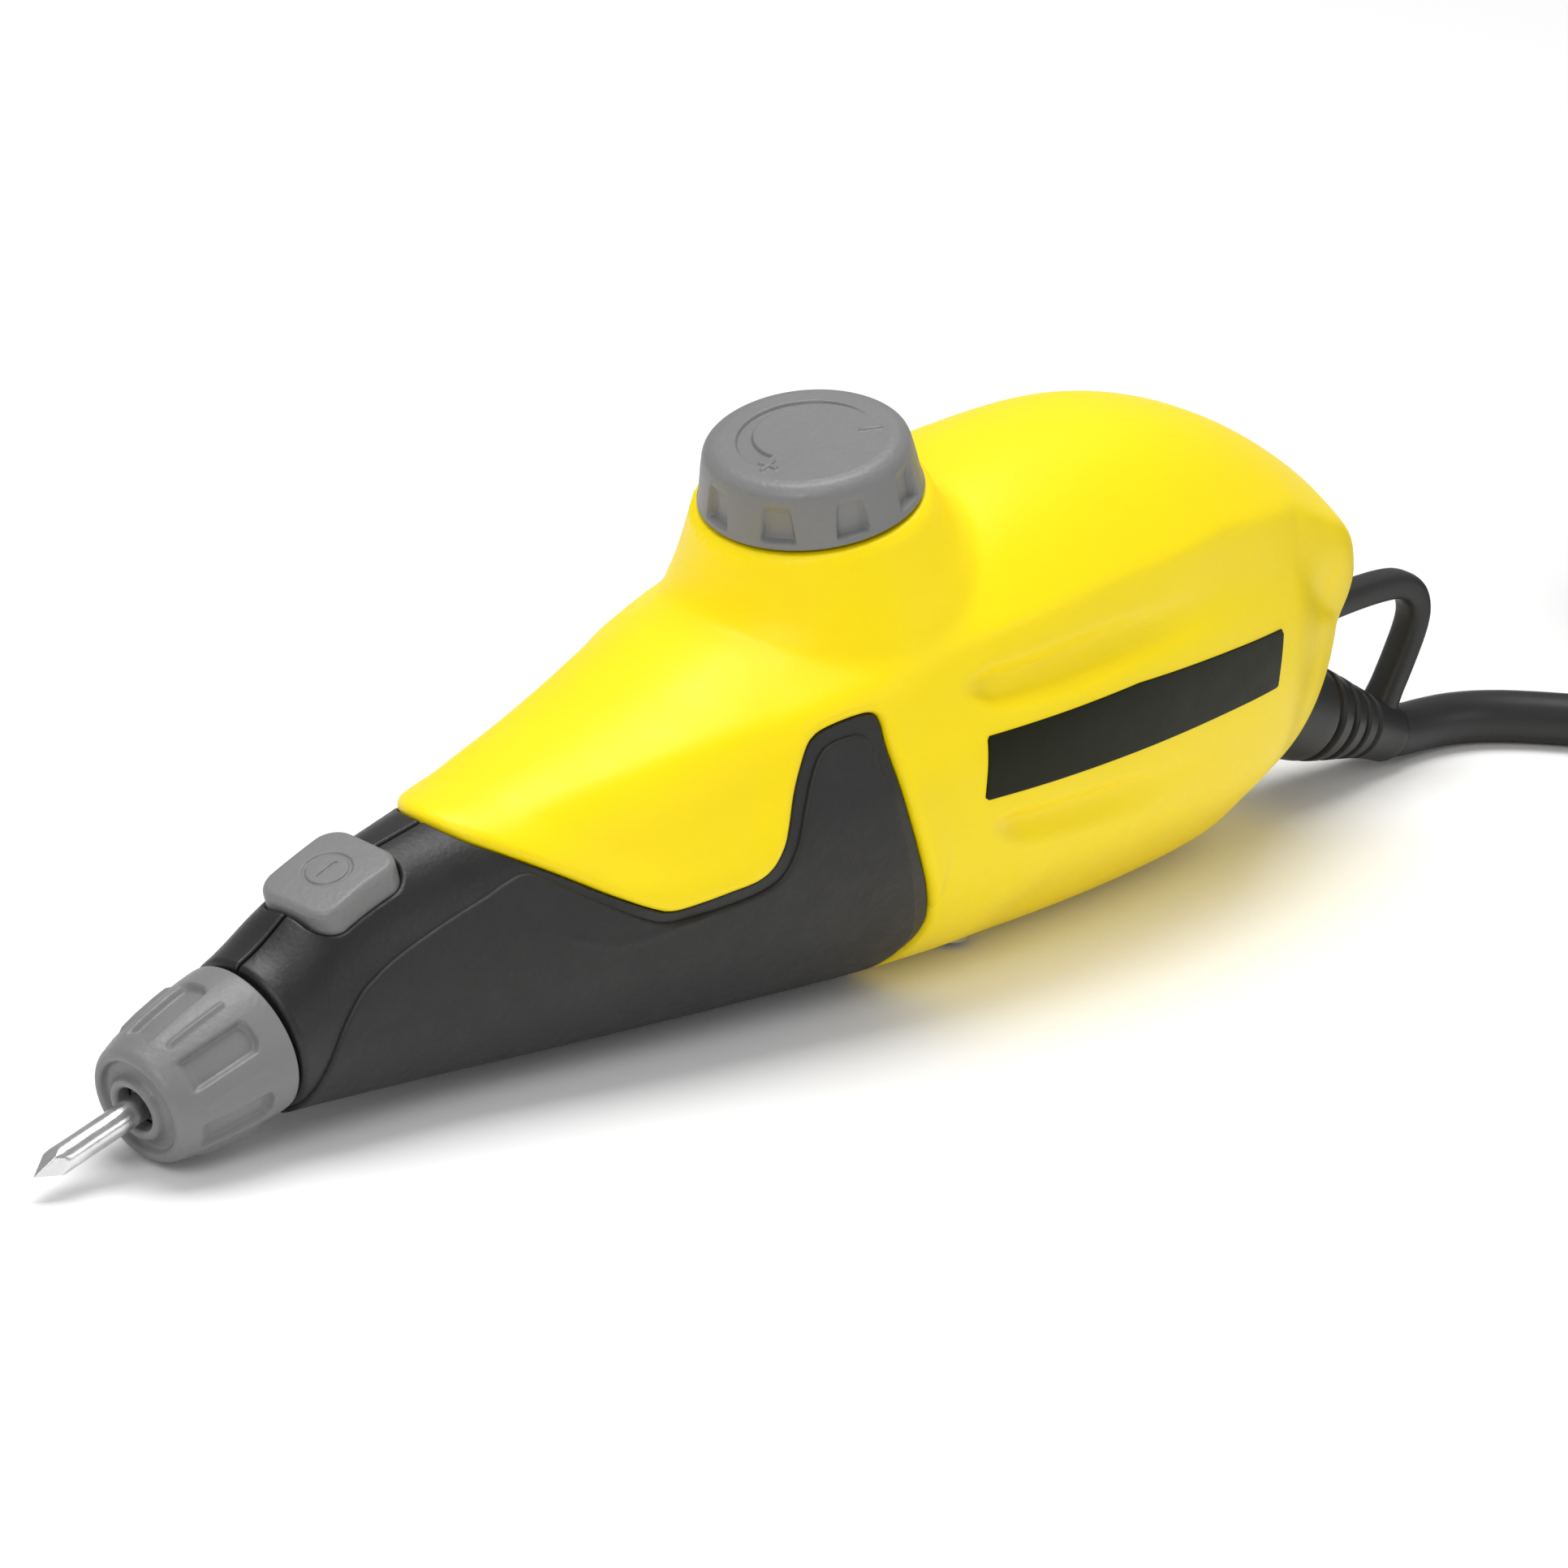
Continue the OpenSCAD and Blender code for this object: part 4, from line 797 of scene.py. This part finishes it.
def sleeve():
    """Grip sleeve with pockets, a fine rib between each two, and a turned lip at the front."""
    prof = [(17.4, 6.5), (17.4, 2.5), (14.0, 2.5), (13.75, 2.8), (13.75, 3.4), (14.6, 3.75), (15.0, 4.3),
            (15.0, 5.0), (14.2, 5.45), (14.15, 6.05), (14.75, 6.6), (17, 7.25), (20, 7.8), (23, 8.16),
            (26, 8.36), (28.2, 8.45), (29.1, 8.4), (29.1, 7.6), (28.6, 6.6), (22, 6.55)]
    pr = resample(prof, 230, 0.4)

    def fn(S, PH):
        i = np.clip((S * (len(pr) - 1)).round().astype(int), 0, len(pr) - 1)
        a, rad = pr[i, 0], pr[i, 1]
        outer = (rad > 6.55) & (a < 28.6) & (S > 0.3)
        pitch = 2 * math.pi / POCKETS
        # pocket: open towards the front, arched at the rear
        w = POCKET_HALF
        across = ((PH - POCKET_TURN) % pitch - pitch / 2) * rad
        to_side = w - np.abs(across)
        to_rear = POCKET_REAR - a
        corner = np.hypot(np.maximum(np.abs(across) - 0.5, 0), np.maximum(w * 0.8 - to_rear, 0) * 1.15)
        arch = np.where(to_rear < w * 0.8, w * 0.95 - corner - 0.2, to_side)
        pocket = smoothstep(0, 0.5, np.minimum(to_side, arch)) * smoothstep(16.2, 18.2, a) * (to_rear > -0.3)
        rad = rad - np.where(outer, POCKET_DEPTH * pocket, 0)
        g = (PH - POCKET_TURN + pitch / 2) % pitch - pitch / 2
        rib = (np.exp(-(g * pr[i, 1] / RIB_HALF) ** 2) * smoothstep(17.2, 18.0, a)
               * (1 - smoothstep(24.6, 25.4, a)))
        rad = rad + np.where(outer, RIB_H * rib, 0)
        return a, rad

    return lathe_grid(AXIS, np.linspace(0, 1, len(pr)), fn, 360, "nose_sleeve_body", "grey_plastic")


sl = sleeve()
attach(sl, "sleeve")
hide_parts("nose_sleeve")


STYLUS_R, STYLUS_L = 1.5, 22.0
POINT_L, TIP_R = 3.3, 0.03


def stylus():
    """Ground point with four flats, then a plain shank."""
    rows = [(0.0, TIP_R)] + [(POINT_L * k / 14, TIP_R + 1.42 * k / 14) for k in range(1, 15)]
    rows += [(3.45, 1.49), (3.7, STYLUS_R)]
    rows += [(3.7 + (STYLUS_L - 3.7) * k / 30, STYLUS_R) for k in range(1, 31)]
    m = 96
    vs = []
    for s, rad in rows:
        for j in range(m):
            a = 2 * math.pi * j / m
            rr = rad
            if s < 3.6:
                fa = (a + 0.5) % (math.pi / 2) - math.pi / 4
                flat = (0.02 + 0.40 * s) / max(math.cos(fa), 0.3)
                rr = min(STYLUS_R, max(flat, TIP_R))
            vs.append((s, rr * math.sin(a), rr * math.cos(a)))
    W = to_world(AXIS, np.array(vs))
    v, f = loft([W[i * m:(i + 1) * m] for i in range(len(rows))])
    return mesh_object("stylus_point", v, f, "carbide")


st = stylus()
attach(st, "hammer")
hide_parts("stylus")


# ---------------------------------------------------------------- stroke dial
FLUTES, FLUTE_AT = 9, 246.1         # finger flutes round the skirt, and the angle of one of them
FACE_R = 9.2
GROOVE_R = 7.56                     # outer edge of the groove on the face
SCALE_FROM, SCALE_TO = -36.0, 179.0  # angles on the face of the two ends of the groove
MARK_R = 7.0


def stroke_mark(along, across):
    """Height, from 0 to 1, of a short raised stroke."""
    return smoothstep(1.35, 1.1, np.abs(along)) * smoothstep(0.32, 0.14, np.abs(across))


def dial():
    """Knob with a fluted skirt, and on its face a growing groove with a mark at each end."""
    top = [np.array([0.0, r]) for r in np.linspace(0.15, FACE_R, 102)]
    rest = resample([(0.0, FACE_R), (-0.14, 10.1), (-0.8, 11.05), (-1.9, 11.4), (-6.1, 12.1), (-6.75, 12.3),
                     (-7.0, 12.0), (-7.0, 9.4)], 110, 1.0)
    pr = np.vstack([[(0.0, 0.02)], top, rest[1:]])

    def fn(S, PH):
        i = np.clip((S * (len(pr) - 1)).round().astype(int), 0, len(pr) - 1)
        z, rad = pr[i, 0].copy(), pr[i, 1].copy()
        pitch = math.radians(360 / FLUTES)
        f = (PH - math.radians(FLUTE_AT) + pitch / 2) % pitch - pitch / 2
        down = np.clip((-z - 1.5) / 4.2, 0, 1)
        half = 1.55 + 0.5 * down
        fl = (smoothstep(0, 0.4, half - np.abs(f) * rad) * smoothstep(-1.5, -3.1, z)
              * smoothstep(-6.25, -5.85, z))
        rad = rad - (0.3 + 0.62 * down) * fl * (z < -0.9)
        # growing groove on the face
        a0, a1 = math.radians(SCALE_FROM), math.radians(SCALE_TO)
        ph = (PH - a0) % (2 * math.pi)
        on = ph < (a1 - a0)
        tt = ph / (a1 - a0)
        inner = GROOVE_R - (0.15 + 2.6 * tt ** 1.3)
        depth = smoothstep(0, 0.28, rad - inner) * smoothstep(0, 0.28, GROOVE_R - rad)
        ends = smoothstep(0, 0.03, tt) * smoothstep(1.0, 0.985, tt)
        z = z - np.where((z > -0.02) & on, 0.42 * depth * ends, 0)
        # raised marks at the two ends of the groove: a plus and a minus
        cx, cy = rad * np.cos(PH), rad * np.sin(PH)
        for a, plus in ((a1 + math.radians(9), True), (a0 - math.radians(7), False)):
            rx, ry = math.cos(a), math.sin(a)
            mx, my = MARK_R * rx, MARK_R * ry
            dr = (cx - mx) * rx + (cy - my) * ry
            dt = -(cx - mx) * ry + (cy - my) * rx
            mark = stroke_mark(dr, dt)
            if plus:
                mark = np.maximum(mark, stroke_mark(dt, dr))
            z = z + np.where(z > -0.6, 0.3 * mark, 0) * (rad < 9.5)
        return z, rad

    return lathe_grid(DIAL, np.linspace(0, 1, len(pr)), fn, 420, "dial_knob", "grey_plastic", along_x=False)


kn = dial()
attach(kn, "dial")
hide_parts("stroke_dial")


# ---------------------------------------------------------------- push button
CAP_TOP, CAP_DEEP, CAP_EDGE = 2.2, 2.5, 0.9     # height, depth of the skirt and radius of the upper edge


def button():
    """Domed rounded-rectangle cap, with a sunk ring and bar on its top."""
    m = 240

    def edge(a):
        """Distance from the middle to the cap's outline at an angle."""
        c, s = math.cos(a), math.sin(a)
        lo, hi = 0.0, 12.0
        for _ in range(30):
            mid = (lo + hi) / 2
            qx, qy = abs(mid * c) - (BUTTON_L - BUTTON_R), abs(mid * s) - (BUTTON_W - BUTTON_R)
            d = math.hypot(max(qx, 0), max(qy, 0)) + min(max(qx, qy), 0) - BUTTON_R
            lo, hi = (mid, hi) if d < 0 else (lo, mid)
        return lo

    R = np.array([edge(2 * math.pi * j / m) for j in range(m)])
    PH = 2 * math.pi * np.arange(m) / m
    rings = []
    for k in range(70):
        rad = (R - CAP_EDGE) * (k / 69)
        x, y = rad * np.cos(PH), rad * np.sin(PH)
        z = CAP_TOP - 0.38 * (x / BUTTON_L) ** 2 - 0.25 * (y / BUTTON_W) ** 2
        ring = smoothstep(0.3, 0.12, np.abs(np.hypot(x, y) - 2.5))
        bar = smoothstep(0.3, 0.12, np.abs(y)) * smoothstep(1.5, 1.25, np.abs(x))
        z = z - 0.2 * np.maximum(ring, bar)
        rings.append(np.stack([x, y, z], -1))
    zrim = rings[-1][:, 2]
    for k in range(1, 9):
        a = math.pi / 2 * k / 8
        rad = R - CAP_EDGE + CAP_EDGE * math.sin(a)
        rings.append(np.stack([rad * np.cos(PH), rad * np.sin(PH), zrim - CAP_EDGE * (1 - math.cos(a))], -1))
    base = rings[-1]
    for k in range(1, 6):
        rings.append(np.stack([base[:, 0], base[:, 1], base[:, 2] * (1 - k / 5) - CAP_DEEP * k / 5], -1))
    W = to_world(BUTTON, np.concatenate(rings))
    return mesh_object("button_cap", W, grid_faces(len(rings), m), "grey_plastic")


bt = button()
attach(bt, "button")
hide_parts("power_button")


# ---------------------------------------------------------------- strain relief and hanging loop
BOOT_L, BOOT_TILT = 27.0, 20        # length of the cord's boot, and its slope in degrees
BOOT_END = np.array([106.0, 0, 3.7])
# the boot's grooves: place along it, half width and depth
GROOVES = ((9.2, 0.95, 1.0), (12.9, 0.95, 1.0), (16.4, 0.8, 0.9), (19.6, 0.7, 0.6))
LOOP_HALF_Y, LOOP_HALF_Z = 2.0, 1.7


def boot():
    """Rings of the tapered, grooved boot that the cord leaves by."""
    a = math.radians(BOOT_TILT)
    d = np.array([math.cos(a), 0, -math.sin(a)])
    up = np.array([math.sin(a), 0, math.cos(a)])
    side = np.array([0, 1.0, 0])
    m = 72
    prof = []
    for k in range(220):
        s = BOOT_L * k / 219
        rad = 6.0 - 2.25 * smoothstep(6, 25, s)
        g = 0
        for c, wd, dp in GROOVES:
            g = max(g, dp * smoothstep(wd, wd * 0.35, abs(s - c)))
        rad -= g
        if s > 26:
            rad -= 0.5 * (s - 26) ** 2
        prof.append((s, rad))
    prof.append((BOOT_L, 3.12))
    rings = []
    for s, rad in prof:
        c = BOOT_END + d * (s - BOOT_L)
        turns = [2 * math.pi * j / m for j in range(m)]
        rings.append([c + rad * (math.cos(t) * side + math.sin(t) * up) for t in turns])
    return rings


def hanging_loop():
    """Rings of the loop that springs from the housing and meets the boot's end."""
    path = spline([(84, 22.1), (90, 22.7), (96, 23.1), (101, 23.15), (104.6, 22.7), (107.1, 21.2),
                   (108.2, 19.0), (108.0, 16.6), (106.7, 13.2), (105.2, 10.0), (103.9, 7.4), (103.2, 5.8)], 6)
    n = len(path)
    section = []
    for j in range(28):
        t = 2 * math.pi * j / 28
        c, s = math.cos(t), math.sin(t)
        section.append((LOOP_HALF_Y * math.copysign(abs(c) ** 0.7, c),
                        LOOP_HALF_Z * math.copysign(abs(s) ** 0.7, s)))
    rings = []
    for i in range(n):
        ahead = path[min(i + 1, n - 1)] - path[max(i - 1, 0)]
        ahead = ahead / np.linalg.norm(ahead)
        nrm = np.array([-ahead[1], ahead[0]])
        k = 1.0 + 0.25 * smoothstep(n * 0.8, n, i)
        rings.append([np.array([path[i][0] + nrm[0] * b * k, a * k, path[i][1] + nrm[1] * b * k])
                      for a, b in section])
    return rings


def relief():
    """Boot and hanging loop in one moulding."""
    v, f = loft(boot())
    v = [np.array([p[0], p[1], max(p[2], 0.05)]) for p in v]
    base = len(v)
    v2, f2 = loft(hanging_loop())
    verts = v + [np.asarray(p) for p in v2]
    faces = f + [tuple(i + base for i in q) for q in f2]
    return mesh_object("cord_boot", verts, faces, "relief_rubber")


rl = relief()
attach(rl, "housing")
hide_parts("strain_relief")

# ---------------------------------------------------------------- floor, light
FLOOR_HALF, FLOOR_Z = 6000, -0.05
fm = Nodes("floor_paint")
fm.link(fm.tint(fm.noise(4, 3, 0.5), (0.93, 0.93, 0.93, 1), (0.95, 0.95, 0.95, 1)), "Base Color")
fm.b.inputs["Roughness"].default_value = 0.9
fm.b.inputs["Specular IOR Level"].default_value = 0.1
MATS["floor_paint"] = fm.m
corners = [(x * FLOOR_HALF, y * FLOOR_HALF, FLOOR_Z) for x, y in ((-1, -1), (1, -1), (1, 1), (-1, 1))]
fl = mesh_object("floor", corners, [(0, 1, 2, 3)], "floor_paint", False)

world = bpy.data.worlds.new("studio")
bpy.context.scene.world = world
world.use_nodes = True
bg = world.node_tree.nodes["Background"]
bg.inputs["Color"].default_value = (1, 1, 1, 1)
bg.inputs["Strength"].default_value = 0.4


def softbox(name, at, look, size, power):
    """Soft rectangular light; places and sizes are in metres."""
    li = bpy.data.lights.new(name, "AREA")
    li.shape = "RECTANGLE"
    li.size, li.size_y = size
    li.energy = power
    ob = bpy.data.objects.new(name, li)
    bpy.context.scene.collection.objects.link(ob)
    ob.location = at
    ob.rotation_euler = (Vector(look) - Vector(at)).to_track_quat("-Z", "Y").to_euler()
    return ob


softbox("top_box", (0.05, 0.15, 0.95), (0, 0, 0.02), (0.7, 0.5), 7)
softbox("key_box", (-0.9, -0.35, 0.75), (-0.02, 0, 0.03), (0.5, 0.5), 4)
softbox("fill_box", (0.5, -1.0, 0.45), (0.02, 0, 0.03), (0.7, 0.4), 1.3)
